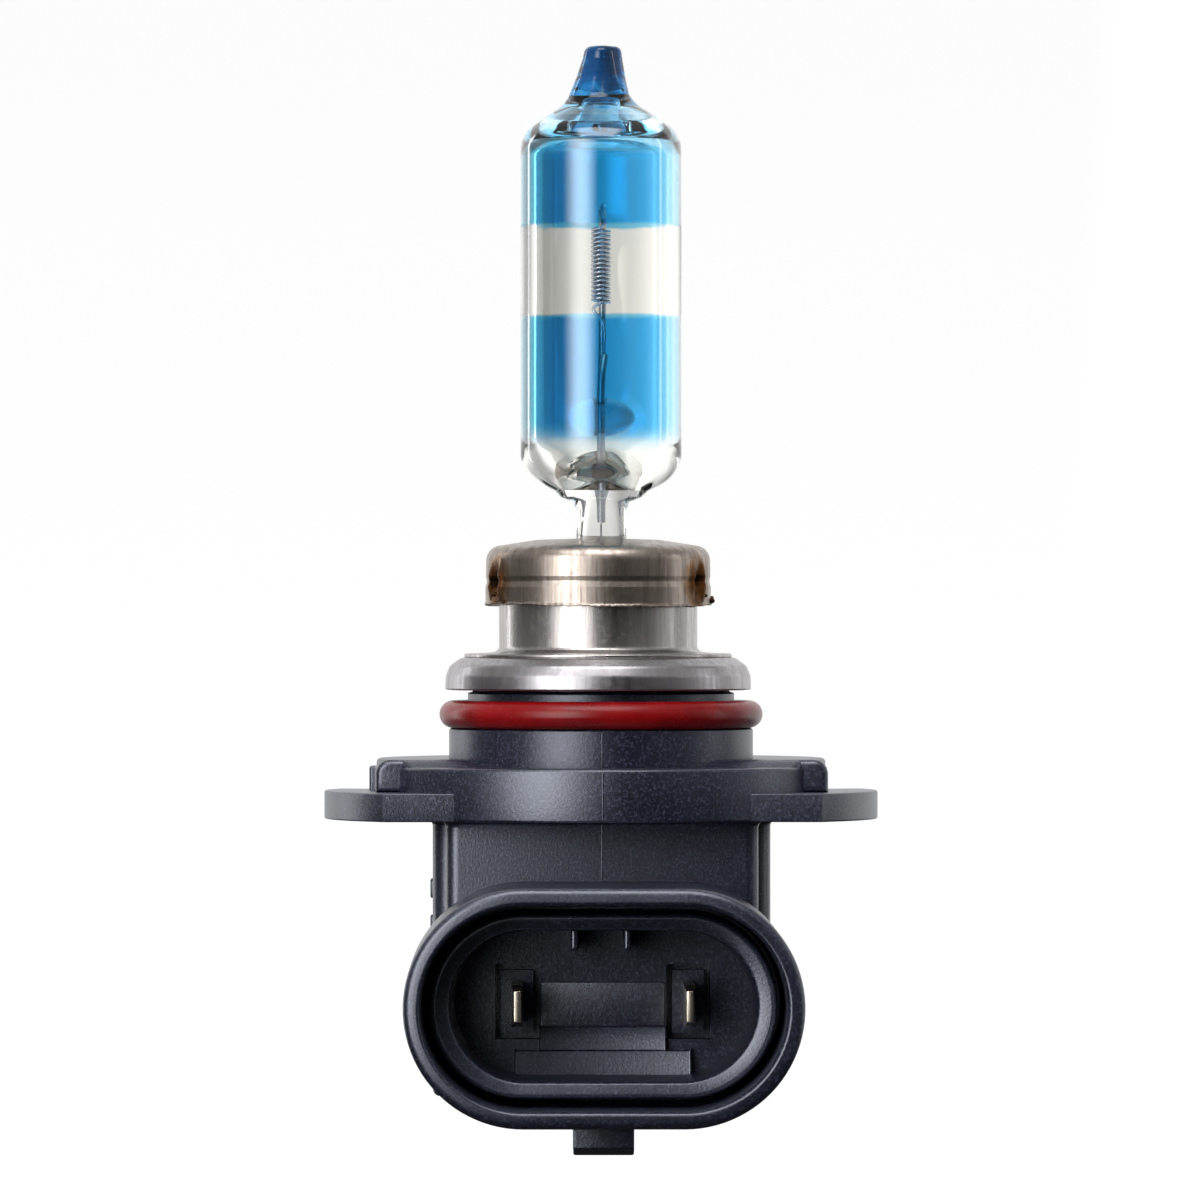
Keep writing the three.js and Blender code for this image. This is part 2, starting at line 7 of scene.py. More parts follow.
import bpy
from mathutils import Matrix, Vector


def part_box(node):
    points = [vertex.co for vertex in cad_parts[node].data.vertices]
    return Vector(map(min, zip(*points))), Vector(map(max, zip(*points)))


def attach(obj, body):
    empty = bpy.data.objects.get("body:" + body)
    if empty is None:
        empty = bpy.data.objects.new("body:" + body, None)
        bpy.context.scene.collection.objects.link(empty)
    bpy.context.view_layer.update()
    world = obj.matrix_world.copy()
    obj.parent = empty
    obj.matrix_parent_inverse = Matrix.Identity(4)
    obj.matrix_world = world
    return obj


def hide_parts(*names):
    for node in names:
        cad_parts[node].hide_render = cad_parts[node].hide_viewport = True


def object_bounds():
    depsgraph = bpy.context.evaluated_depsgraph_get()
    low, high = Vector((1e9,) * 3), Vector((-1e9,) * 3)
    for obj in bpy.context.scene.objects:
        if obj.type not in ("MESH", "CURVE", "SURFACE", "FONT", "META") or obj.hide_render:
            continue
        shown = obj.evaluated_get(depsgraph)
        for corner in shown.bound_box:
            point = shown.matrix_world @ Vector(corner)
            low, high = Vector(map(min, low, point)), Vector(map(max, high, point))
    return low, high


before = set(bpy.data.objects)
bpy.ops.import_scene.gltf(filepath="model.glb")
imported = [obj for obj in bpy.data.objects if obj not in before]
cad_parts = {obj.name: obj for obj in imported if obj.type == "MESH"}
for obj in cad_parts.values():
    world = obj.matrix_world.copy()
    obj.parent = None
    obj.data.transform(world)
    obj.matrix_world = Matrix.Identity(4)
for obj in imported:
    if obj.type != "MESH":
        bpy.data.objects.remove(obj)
CAD_BOUNDS = [list(corner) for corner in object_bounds()]

import logging
import math
from dataclasses import dataclass
from enum import Enum

import bpy
import numpy as np
from mathutils import Vector

LOG = logging.getLogger("headlight_bulb")
MM = 0.001
TAU = 2 * math.pi
QUARTER = math.pi / 2
Array = np.ndarray
Triple = tuple[float, float, float]
Piece = bpy.types.Object
Material = bpy.types.Material
Socket = bpy.types.NodeSocket


# ---------------------------------------------------------------- frame


@dataclass(frozen=True)
class Extent:
    """A CAD node's box, in millimetres."""

    low: Triple
    high: Triple

    @classmethod
    def of(cls, node: str) -> "Extent":
        """Reads the box of the named node from the frame."""
        low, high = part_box(node)
        return cls(tuple(v / MM for v in low), tuple(v / MM for v in high))

    @property
    def radius(self) -> float:
        """Half its width along X."""
        return (self.high[0] - self.low[0]) / 2

    @property
    def top(self) -> float:
        """Its highest Z."""
        return self.high[2]

    @property
    def bottom(self) -> float:
        """Its lowest Z."""
        return self.low[2]

    @property
    def middle(self) -> Triple:
        """Its centre."""
        return tuple((a + b) / 2 for a, b in zip(self.low, self.high))


# ---------------------------------------------------------------- surfaces


def unit_arc(angles: Array) -> Array:
    """The points (cos a, sin a), n by 2."""
    return np.stack([np.cos(angles), np.sin(angles)], axis=1)


def around(count: int) -> Array:
    """Evenly spaced angles once round, without the last."""
    return np.linspace(0, TAU, count, endpoint=False)


def rounded(corners: list[Triple], closed: bool = False, steps: int = 6) -> Array:
    """A polyline whose corners are replaced by arcs.

    An arc touches both neighbouring sides, and shrinks where one is too short for it. Its points are its
    centre plus its radius times a unit vector that turns evenly from one side's normal to the other's.

    Args:
        corners: (first, second, radius) of each corner, in order.
        closed: whether the last corner joins the first.
        steps: the spans in each arc.

    Returns:
        The points, as an array of n by 2.
    """
    given = np.array(corners, dtype=float)
    points, radii = given[:, :2], given[:, 2]
    count = len(points)
    out: list[Array] = []
    for i, here in enumerate(points):
        end = not closed and i in (0, count - 1)
        if end or radii[i] <= 0:
            out.append(here[None, :])
            continue
        back, ahead = points[i - 1] - here, points[(i + 1) % count] - here
        back_length, ahead_length = np.linalg.norm(back), np.linalg.norm(ahead)
        back, ahead = back / back_length, ahead / ahead_length
        half = math.acos(float(np.clip(back @ ahead, -1, 1))) / 2
        reach = min(radii[i] / math.tan(half), 0.499 * back_length, 0.499 * ahead_length)
        radius = reach * math.tan(half)
        bisector = (back + ahead) / np.linalg.norm(back + ahead)
        centre = here + bisector * (radius / math.sin(half))
        start, finish = here + back * reach - centre, here + ahead * reach - centre
        first = math.atan2(start[1], start[0])
        turn = (math.atan2(finish[1], finish[0]) - first + math.pi) % TAU - math.pi
        out.append(centre + radius * unit_arc(first + turn * np.linspace(0, 1, steps + 1)))
    return np.concatenate(out)


def band_faces(rows: int, columns: int, wrap_rows: bool, wrap_columns: bool) -> Array:
    """The quads of a grid whose vertices run row by row.

    Args:
        rows: the number of rows of vertices.
        columns: the number of vertices in a row.
        wrap_rows: whether the last row joins the first.
        wrap_columns: whether the last column joins the first.

    Returns:
        The faces, as an array of n by 4 vertex numbers.
    """
    i, j = np.meshgrid(
        np.arange(rows if wrap_rows else rows - 1),
        np.arange(columns if wrap_columns else columns - 1),
        indexing="ij",
    )
    i, j = i.ravel(), j.ravel()
    here, below, right = i * columns, (i + 1) % rows * columns, (j + 1) % columns
    return np.stack([here + j, here + right, below + right, below + j], axis=1)


@dataclass
class Surface:
    """Vertices and faces on the way to a mesh."""

    points: Array
    faces: list

    def placed(self, x: float = 0.0, y: float = 0.0, z: float = 0.0) -> "Surface":
        """The same surface moved by (x, y, z)."""
        return Surface(self.points + np.array([x, y, z]), self.faces)

    def inside_out(self) -> "Surface":
        """The same surface with its faces turned round."""
        return Surface(self.points, [face[::-1] for face in self.faces])

    def mirrored(self) -> "Surface":
        """The same surface with X turned to -X and its faces turned round to match."""
        return Surface(self.points * np.array([-1.0, 1.0, 1.0]), self.faces).inside_out()

    def volume(self) -> float:
        """The signed volume.

        Returns:
            The sum of a sixth of the scalar triple product of each triangle in the faces' fans.
        """
        by_size: dict[int, list] = {}
        for face in self.faces:
            by_size.setdefault(len(face), []).append(face)
        total = 0.0
        for size, faces in by_size.items():
            corners = self.points[np.array(faces)]
            for k in range(1, size - 1):
                a, b, c = corners[:, 0], corners[:, k], corners[:, k + 1]
                total += float(np.einsum("ij,ij->i", a, np.cross(b, c)).sum()) / 6
        return total

    def outward(self) -> "Surface":
        """The same surface with its faces pointing out."""
        return self if self.volume() > 0 else self.inside_out()


def joined(*surfaces: Surface) -> Surface:
    """Several surfaces as one.

    Args:
        surfaces: the surfaces, each of which keeps its own faces.

    Returns:
        The surface that holds them all.
    """
    faces, start = [], 0
    for surface in surfaces:
        faces.extend([[int(v) + start for v in face] for face in surface.faces])
        start += len(surface.points)
    return Surface(np.concatenate([surface.points for surface in surfaces]), faces)


def turned(profile: Array, segments: int = 240) -> Surface:
    """A profile of (radius, height) turned once about Z.

    A point at angle a is (radius cos a, radius sin a, height). An end on the axis closes to one vertex; a
    profile that stays off the axis is taken as a loop.

    Args:
        profile: the points, n by 2.
        segments: the number of steps round.

    Returns:
        A closed surface with its faces pointing out.
    """
    first_on_axis, last_on_axis = profile[0, 0] < 1e-9, profile[-1, 0] < 1e-9
    body = profile[(1 if first_on_axis else 0) : (len(profile) - 1 if last_on_axis else len(profile))]
    radius, height = body[:, :1], np.broadcast_to(body[:, 1:], (len(body), segments))
    angles = around(segments)
    points = np.stack([radius * np.cos(angles), radius * np.sin(angles), height], axis=2).reshape(-1, 3)
    faces = band_faces(len(body), segments, not (first_on_axis or last_on_axis), True).tolist()
    ring = np.arange(segments)
    for on_axis, z, start, flip in (
        (first_on_axis, profile[0, 1], 0, True),
        (last_on_axis, profile[-1, 1], (len(body) - 1) * segments, False),
    ):
        if on_axis:
            pole = len(points)
            points = np.concatenate([points, [[0.0, 0.0, z]]])
            fan = np.stack([ring + start, (ring + 1) % segments + start, np.full(segments, pole)], axis=1)
            faces.extend((fan[:, ::-1] if flip else fan).tolist())
    return Surface(points, faces).outward()


def stacked(rings: Array, loop: bool = False) -> Surface:
    """Rings of equal length joined in order, as a closed loft.

    Args:
        rings: an array of rings by vertices by 3.
        loop: whether the last ring joins the first; if not, each end is closed by a face.

    Returns:
        A surface with its faces pointing out.
    """
    count, size = rings.shape[:2]
    faces = band_faces(count, size, loop, True).tolist()
    if not loop:
        faces.append(list(range(size))[::-1])
        faces.append(list(range((count - 1) * size, count * size)))
    return Surface(rings.reshape(-1, 3), faces).outward()


def offset_outline(outline: Array, distance: float) -> Array:
    """A closed outline moved along its outward normals.

    Each point moves along the mean of its two sides' normals, divided by the cosine of half their angle, so
    that both sides move by the distance.

    Args:
        outline: the points, anticlockwise, n by 2.
        distance: how far outwards, negative for inwards.

    Returns:
        The moved points.
    """
    side = np.roll(outline, -1, axis=0) - outline
    normal = np.stack([side[:, 1], -side[:, 0]], axis=1)
    normal /= np.maximum(np.linalg.norm(normal, axis=1, keepdims=True), 1e-9)
    mean = normal + np.roll(normal, 1, axis=0)
    scale = np.maximum((mean * mean).sum(axis=1, keepdims=True) / 2, 0.25)
    return outline + distance * mean / scale


class Along(Enum):
    """The axis that a prism's outline is raised along."""

    Z = "z"
    Y = "y"
    X = "x"


def stand(outline: Array, height: float, along: Along) -> Array:
    """Puts a flat outline in space.

    Args:
        outline: the points, n by 2.
        height: where it stands on the axis.
        along: the axis; the outline's two numbers are the other two, in order.

    Returns:
        The points, n by 3.
    """
    level = np.full(len(outline), height)
    first, second = outline[:, 0], outline[:, 1]
    if along is Along.Z:
        return np.stack([first, second, level], axis=1)
    if along is Along.Y:
        return np.stack([first, level, second], axis=1)
    return np.stack([level, first, second], axis=1)


def prism(
    outline: Array,
    low: float,
    high: float,
    along: Along = Along.Z,
    low_edge: float = 0.15,
    high_edge: float = 0.15,
    steps: int = 4,
) -> Surface:
    """An outline raised between two heights, with its end edges rounded by quarter arcs.

    At angle a of an edge the outline is offset by -edge (1 - sin a), and stands edge (1 - cos a) inside the
    end's height, where a runs over a right angle.

    Args:
        outline: the points, anticlockwise, n by 2.
        low: where it starts.
        high: where it ends.
        along: the axis it is raised along.
        low_edge: the radius of the edge at its start.
        high_edge: the radius of the edge at its end.
        steps: the spans in an edge.

    Returns:
        A closed surface with its faces pointing out.
    """
    turn = np.linspace(0, QUARTER, steps + 1)
    levels = [(-low_edge * (1 - math.sin(a)), low + low_edge * (1 - math.cos(a))) for a in turn]
    levels += [(-high_edge * (1 - math.sin(a)), high - high_edge * (1 - math.cos(a))) for a in turn[::-1]]
    return stacked(np.stack([stand(offset_outline(outline, off), level, along) for off, level in levels]))


def rectangle(x0: float, x1: float, y0: float, y1: float, corner: float, steps: int = 6) -> Array:
    """A rectangle's outline with round corners, anticlockwise."""
    return rounded([(x0, y0, corner), (x1, y0, corner), (x1, y1, corner), (x0, y1, corner)], True, steps)


def stadium(width: float, height: float, middle: float) -> Array:
    """An outline with half-round ends: two arcs of half the height, joined by two straight sides.

    Args:
        width: its full width.
        height: its full height.
        middle: the second coordinate of its centre.

    Returns:
        The points, anticlockwise, as many for every size, so that two such outlines can be joined.
    """
    arc_points, flat_points = 48, 6
    radius = height / 2
    half = width / 2 - radius
    end = radius * unit_arc(np.linspace(-QUARTER, QUARTER, arc_points)) + [half, 0]
    across = np.linspace(half, -half, flat_points + 2)[1:-1]
    flat = np.stack([across, np.full(flat_points, radius)], axis=1)
    return np.concatenate([end, flat, -end, -flat]) + [0, middle]


def smooth_path(knots: list[Triple], count: int) -> Array:
    """A smooth curve through points: a cubic in each span, with slopes taken from the points on either side.

    Args:
        knots: the points that it goes through.
        count: the number of points wanted.

    Returns:
        The points, count by 3.
    """
    given = np.array(knots, dtype=float)
    steps = np.concatenate([[0.0], np.cumsum(np.linalg.norm(np.diff(given, axis=0), axis=1))])
    slopes = np.gradient(given, steps, axis=0)
    at = np.linspace(0, steps[-1], count)
    span = np.clip(np.searchsorted(steps, at, side="right") - 1, 0, len(given) - 2)
    width = (steps[span + 1] - steps[span])[:, None]
    t = (at - steps[span])[:, None] / width
    return (
        (2 * t**3 - 3 * t**2 + 1) * given[span]
        + (t**3 - 2 * t**2 + t) * width * slopes[span]
        + (3 * t**2 - 2 * t**3) * given[span + 1]
        + (t**3 - t**2) * width * slopes[span + 1]
    )


def wire(path: Array, radius: float, sides: int = 16, up: Triple = (1, 0, 0)) -> Surface:
    """A round wire along a path.

    A ring's points are the path's point plus radius (cos a times the side vector plus sin a times the other),
    where both vectors are square to the path's direction and the first lies in the plane of up.

    Args:
        path: the points, n by 3.
        radius: the wire's radius.
        sides: the points in a ring.
        up: a direction that the path never runs along.

    Returns:
        A closed surface with its faces pointing out.
    """
    along = np.gradient(path, axis=0)
    along /= np.linalg.norm(along, axis=1, keepdims=True)
    reference = np.array(up, dtype=float)
    side = reference - (along @ reference)[:, None] * along
    side /= np.linalg.norm(side, axis=1, keepdims=True)
    other = np.cross(along, side)
    c, s = unit_arc(around(sides)).T[:, None, :, None]
    return stacked(path[:, None, :] + radius * (c * side[:, None, :] + s * other[:, None, :]))


def make_piece(
    name: str, surface: Surface, material: Material, node: str = "", sharp_degrees: float = 38.0
) -> Piece:
    """Writes a surface in millimetres to a smooth-shaded object in metres that rides on the root body.

    Args:
        name: the piece's name.
        surface: its vertices and faces.
        material: its finish.
        node: the CAD node that it stands for, if any.
        sharp_degrees: edges sharper than this are left sharp.

    Returns:
        The new object, at the origin.
    """
    mesh = bpy.data.meshes.new(name)
    mesh.from_pydata((surface.points * MM).tolist(), [], surface.faces)
    mesh.polygons.foreach_set("use_smooth", np.ones(len(mesh.polygons), dtype=bool))
    mesh.set_sharp_from_angle(angle=math.radians(sharp_degrees))
    mesh.validate()
    mesh.update()
    piece = bpy.data.objects.new(name, mesh)
    bpy.context.scene.collection.objects.link(piece)
    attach(piece, "root")
    mesh.materials.append(material)
    if node:
        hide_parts(node)
    LOG.info("%s: %d vertices", name, len(mesh.vertices))
    return piece


def dress(node: str, material: Material) -> None:
    """Gives a CAD node that keeps its shape a new material.

    Args:
        node: the node's name.
        material: the material for all its slots.
    """
    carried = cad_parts[node]
    if not carried.material_slots:
        carried.data.materials.append(material)
    for slot in carried.material_slots:
        slot.material = material
    LOG.info("%s: keeps its shape", node)


# ---------------------------------------------------------------- finishes


class Nodes:
    """A small builder for one node tree."""

    def __init__(self, tree: bpy.types.NodeTree) -> None:
        """Keeps the tree that nodes are added to."""
        self.tree = tree

    def add(self, kind: str, **settings: object) -> bpy.types.Node:
        """Adds a node.

        Args:
            kind: the node's type name.
            settings: property values, and input values whose keys are in_ and the input's name.

        Returns:
            The new node.
        """
        node = self.tree.nodes.new(kind)
        for key, value in settings.items():
            if key.startswith("in_"):
                node.inputs[key[3:].replace("_", " ")].default_value = value
            else:
                setattr(node, key, value)
        return node

    def put(self, value: object, target: Socket) -> None:
        """Joins a socket to an input, or sets the input to a plain value.

        Args:
            value: the socket or the value.
            target: the input.
        """
        if isinstance(value, Socket):
            self.tree.links.new(value, target)
        else:
            target.default_value = value

    def math(self, operation: str, first: object, second: object = 0.0, clamp: bool = False) -> Socket:
        """A Math node on two numbers or sockets.

        Args:
            operation: the node's operation.
            first: a number or a socket.
            second: a number or a socket.
            clamp: whether the result is kept between 0 and 1.

        Returns:
            The result's socket.
        """
        node = self.add("ShaderNodeMath", operation=operation, use_clamp=clamp)
        self.put(first, node.inputs[0])
        self.put(second, node.inputs[1])
        return node.outputs[0]

    def blend(self, factor: object, first: object, second: object, mode: str = "MIX") -> Socket:
        """A Mix node on two colours.

        Args:
            factor: a number or a socket.
            first: an RGB tuple or a socket.
            second: an RGB tuple or a socket.
            mode: how the second is laid on the first.

        Returns:
            The colour's socket.
        """
        node = self.add("ShaderNodeMix", data_type="RGBA", blend_type=mode)
        self.put(factor, node.inputs[0])
        for place, value in ((6, first), (7, second)):
            self.put(value if isinstance(value, Socket) else (*value, 1.0), node.inputs[place])
        return node.outputs[2]

    def between(
        self,
        value: Socket,
        low: float,
        high: float,
        to_low: float = 0.0,
        to_high: float = 1.0,
        smooth: bool = False,
    ) -> Socket:
        """A Map Range node, kept between its ends.

        Args:
            value: the socket to map.
            low: the value that gives to_low.
            high: the value that gives to_high.
            to_low: the result at low.
            to_high: the result at high.
            smooth: whether the ramp eases in and out.

        Returns:
            The result's socket.
        """
        kind = "SMOOTHSTEP" if smooth else "LINEAR"
        node = self.add("ShaderNodeMapRange", interpolation_type=kind, clamp=True)
        for place, number in enumerate((value, low, high, to_low, to_high)):
            self.put(number, node.inputs[place])
        return node.outputs[0]

    def noise(self, place: Socket, scale: object, detail: float, **settings: float) -> Socket:
        """A Noise Texture node.

        Args:
            place: the socket of its vector.
            scale: a number or a socket.
            detail: its octaves.
            settings: its other inputs, as add takes them.

        Returns:
            The value's socket.
        """
        node = self.add("ShaderNodeTexNoise", in_Detail=detail, **settings)
        self.put(place, node.inputs["Vector"])
        self.put(scale, node.inputs["Scale"])
        return node.outputs[0]

    def split(self, vector: Socket) -> list[Socket]:
        """The three parts of a vector.

        Args:
            vector: the vector's socket.

        Returns:
            The sockets of X, Y and Z.
        """
        node = self.add("ShaderNodeSeparateXYZ")
        self.put(vector, node.inputs[0])
        return list(node.outputs)


Sockets = bpy.types.bpy_prop_collection


def start_group(
    name: str, inputs: dict[str, float], outputs: tuple[str, ...]
) -> tuple[Nodes, Sockets, Sockets]:
    """Begins a shader node group that takes a vector.

    Args:
        name: the group's name.
        inputs: the name and default of each number that it takes.
        outputs: the name of each number that it gives.

    Returns:
        The builder, what the group is given and what it gives out.
    """
    tree = bpy.data.node_groups.new(name, "ShaderNodeTree")
    tree.interface.new_socket("Vector", in_out="INPUT", socket_type="NodeSocketVector")
    for label, default in inputs.items():
        taken = tree.interface.new_socket(label, in_out="INPUT", socket_type="NodeSocketFloat")
        taken.default_value = default
    for label in outputs:
        tree.interface.new_socket(label, in_out="OUTPUT", socket_type="NodeSocketFloat")
    nodes = Nodes(tree)
    return nodes, nodes.add("NodeGroupInput").outputs, nodes.add("NodeGroupOutput").inputs


class Effect(Enum):
    """The shared effects, each built once as a node group."""

    SPECKLE = "mould_speckle"
    BRUSHED = "drawn_metal"
    DUST = "fine_dust"


def build_speckle() -> bpy.types.NodeTree:
    """Moulded grain: fine bright flecks on a soft mottle, with a height for the bump.

    Returns:
        The group.
    """
    nodes, given, out = start_group(
        Effect.SPECKLE.value, {"Fleck Size": 9000.0, "Mottle Size": 700.0}, ("Flecks", "Mottle", "Height")
    )
    fine = nodes.noise(given["Vector"], given["Fleck Size"], 3.0, in_Roughness=0.7)
    coarse = nodes.noise(given["Vector"], given["Mottle Size"], 4.0, in_Roughness=0.6)
    nodes.put(nodes.between(fine, 0.5, 0.68), out["Flecks"])
    nodes.put(nodes.between(coarse, 0.3, 0.7), out["Mottle"])
    nodes.put(nodes.math("ADD", fine, nodes.math("MULTIPLY", coarse, 0.06)), out["Height"])
    return nodes.tree


def build_brushed() -> bpy.types.NodeTree:
    """Drawing marks: noise stretched along the drawing direction, with small pits.

    Returns:
        The group.
    """
    nodes, given, out = start_group(
        Effect.BRUSHED.value, {"Lines": 2500.0, "Pits": 2200.0}, ("Marks", "Pitting")
    )
    stretch = nodes.add("ShaderNodeVectorMath", operation="MULTIPLY")
    stretch.inputs[1].default_value = (1.0, 1.0, 0.06)
    nodes.put(given["Vector"], stretch.inputs[0])
    lines = nodes.noise(stretch.outputs[0], given["Lines"], 4.0, in_Roughness=0.65)
    pits = nodes.noise(given["Vector"], given["Pits"], 3.0, in_Roughness=0.7)
    nodes.put(nodes.between(lines, 0.3, 0.7), out["Marks"])
    nodes.put(nodes.between(pits, 0.52, 0.7), out["Pitting"])
    return nodes.tree


def build_dust() -> bpy.types.NodeTree:
    """Sparse dust: a few flecks that are kept where two noises are both high.

    Returns:
        The group.
    """
    nodes, given, out = start_group(Effect.DUST.value, {"Size": 5200.0}, ("Mask",))
    fine = nodes.between(nodes.noise(given["Vector"], given["Size"], 2.0), 0.66, 0.74)
    broad = nodes.between(nodes.noise(given["Vector"], 260.0, 2.0), 0.5, 0.65)
    nodes.put(nodes.math("MULTIPLY", fine, broad), out["Mask"])
    return nodes.tree


BUILDERS = {Effect.SPECKLE: build_speckle, Effect.BRUSHED: build_brushed, Effect.DUST: build_dust}


class Finish:
    """A material in the making: the Principled shader, Object coordinates and the shared effects."""

    def __init__(self, name: str) -> None:
        """Starts the material.

        Args:
            name: the material's name.
        """
        self.material = bpy.data.materials.new(name)
        self.material.use_nodes = True
        self.nodes = Nodes(self.material.node_tree)
        self.shader = self.material.node_tree.nodes["Principled BSDF"]
        self.place = self.nodes.add("ShaderNodeTexCoord").outputs["Object"]

    def plain(self, **values: object) -> None:
        """Sets the shader's own sockets; a name's spaces are written as underscores."""
        for key, value in values.items():
            self.shader.inputs[key.replace("_", " ")].default_value = value

    def effect(self, effect: Effect, **values: float) -> Sockets:
        """Places a shared effect with its own values.

        Args:
            effect: which effect.
            values: its inputs, with spaces written as underscores.

        Returns:
            What the group gives out, by name.
        """
        tree = bpy.data.node_groups.get(effect.value) or BUILDERS[effect]()
        node = self.nodes.add("ShaderNodeGroup", node_tree=tree)
        self.nodes.put(self.place, node.inputs["Vector"])
        for key, value in values.items():
            node.inputs[key.replace("_", " ")].default_value = value
        return node.outputs

    def feed(self, socket: Socket, name: str) -> None:
        """Joins a socket to one of the shader's inputs."""
        self.nodes.put(socket, self.shader.inputs[name])

    def bump(self, height: Socket, strength: float, distance: float) -> None:
        """Adds a bump.

        Args:
            height: the height's socket.
            strength: how strong it is.
            distance: how high it stands, in metres.
        """
        node = self.nodes.add("ShaderNodeBump", in_Strength=strength, in_Distance=distance)
        self.nodes.put(height, node.inputs["Height"])
        self.feed(node.outputs[0], "Normal")

    def near(self, point: Triple, radius: float) -> Socket:
        """A mask that falls smoothly from 1 at a point to 0 at a radius.

        Args:
            point: the point, in millimetres.
            radius: the radius, in millimetres.

        Returns:
            The mask's socket.
        """
        apart = self.nodes.add("ShaderNodeVectorMath", operation="DISTANCE")
        self.nodes.put(self.place, apart.inputs[0])
        apart.inputs[1].default_value = tuple(v * MM for v in point)
        return self.nodes.between(apart.outputs["Value"], radius * MM, 0.0, smooth=True)


def srgb(red: int, green: int, blue: int) -> Triple:
    """A screen colour of 0 to 255 as linear light."""
    values = [v / 255 for v in (red, green, blue)]
    return tuple(v / 12.92 if v <= 0.04045 else ((v + 0.055) / 1.055) ** 2.4 for v in values)


@dataclass(frozen=True)
class MouldedNylon:
    """Glass-filled nylon: dark blue grey, satin, with fine bright flecks."""

    name: str = "moulded_nylon"
    dark: Triple = srgb(14, 17, 31)
    light: Triple = srgb(21, 24, 41)
    fleck: Triple = srgb(106, 110, 136)
    fleck_strength: float = 0.36
    grain: float = 0.36
    gloss: float = 0.9

    def build(self) -> Material:
        """Makes the material.

        Returns:
            The material.
        """
        finish = Finish(self.name)
        grain = finish.effect(Effect.SPECKLE, Fleck_Size=5200.0, Mottle_Size=420.0)
        nodes = finish.nodes
        base = nodes.blend(grain["Mottle"], self.dark, self.light)
        amount = nodes.math("MULTIPLY", grain["Flecks"], self.fleck_strength)
        finish.feed(nodes.blend(amount, base, self.fleck), "Base Color")
        finish.feed(nodes.between(grain["Mottle"], 0, 1, 0.29, 0.33), "Roughness")
        finish.plain(Specular_IOR_Level=self.gloss, IOR=1.6, Specular_Tint=(0.84, 0.88, 1.0, 1.0))
        finish.bump(grain["Height"], self.grain, 0.00005)
        return finish.material


@dataclass(frozen=True)
class NickelSteel:
    """Plated drawn sheet, with optional heat tint round weld spots."""

    name: str
    colour: Triple
    shade: Triple
    roughness: float
    bump: float
    welds: tuple[Triple, ...] = ()
    tint_reach: float = 3.1

    def build(self) -> Material:
        """Makes the material: round each weld the tint goes through straw and brown to soot.

        Returns:
            The material.
        """
        finish = Finish(self.name)
        nodes = finish.nodes
        drawn = finish.effect(Effect.BRUSHED)
        colour = nodes.blend(drawn["Marks"], self.colour, self.shade)
        rough = nodes.between(drawn["Marks"], 0, 1, self.roughness, self.roughness + 0.12)
        rough = nodes.math("ADD", rough, nodes.math("MULTIPLY", drawn["Pitting"], 0.08))
        for weld in self.welds:
            ragged = nodes.between(nodes.noise(finish.place, 900.0, 4.0), 0.3, 0.7, 0.72, 1.2)
            halo = nodes.math("MULTIPLY", finish.near(weld, self.tint_reach), ragged, clamp=True)
            straw = nodes.between(halo, 0.12, 0.45, smooth=True)
            brown = nodes.between(halo, 0.42, 0.75, smooth=True)
            soot = nodes.between(halo, 0.78, 0.97, smooth=True)
            colour = nodes.blend(nodes.math("MULTIPLY", straw, 0.75), colour, srgb(190, 150, 100), "MULTIPLY")
            colour = nodes.blend(brown, colour, srgb(104, 66, 34))
            colour = nodes.blend(soot, colour, srgb(30, 20, 14))
            rough = nodes.math("ADD", rough, nodes.math("MULTIPLY", brown, 0.25))
        finish.feed(colour, "Base Color")
        finish.feed(rough, "Roughness")
        finish.plain(Metallic=1.0)
        finish.bump(drawn["Marks"], self.bump, 0.00003)
        return finish.material


@dataclass(frozen=True)
class Silicone:
    """Smooth silicone rubber with a slight bloom and a little dust."""

    name: str
    colour: Triple
    deep: Triple
    roughness: float = 0.27

    def build(self) -> Material:
        """Makes the material.

        Returns:
            The material.
        """
        finish = Finish(self.name)
        nodes = finish.nodes
        grain = finish.effect(Effect.SPECKLE, Fleck_Size=3600.0, Mottle_Size=260.0)
        dust = nodes.math("MULTIPLY", finish.effect(Effect.DUST)["Mask"], 0.35)
        colour = nodes.blend(grain["Mottle"], self.deep, self.colour)
        finish.feed(nodes.blend(dust, colour, srgb(200, 150, 145)), "Base Color")
        rough = nodes.between(grain["Mottle"], 0, 1, self.roughness - 0.05, self.roughness + 0.1)
        finish.feed(rough, "Roughness")
        finish.plain(Specular_IOR_Level=0.3)
        finish.bump(grain["Height"], 0.06, 0.00004)
        return finish.material


@dataclass(frozen=True)
class BareWire:
    """Tungsten or molybdenum wire, dull, with die lines."""

    name: str
    colour: Triple
    roughness: float

    def build(self) -> Material:
        """Makes the material.

        Returns:
            The material.
        """
        finish = Finish(self.name)
        nodes = finish.nodes
        drawn = finish.effect(Effect.BRUSHED, Lines=9000.0, Pits=5200.0)
        shade = tuple(v * 0.6 for v in self.colour)
        finish.feed(nodes.blend(drawn["Pitting"], self.colour, shade), "Base Color")
        finish.feed(nodes.between(drawn["Marks"], 0, 1, self.roughness, self.roughness + 0.15), "Roughness")
        finish.plain(Metallic=1.0)
        finish.bump(drawn["Marks"], 0.1, 0.00001)
        return finish.material


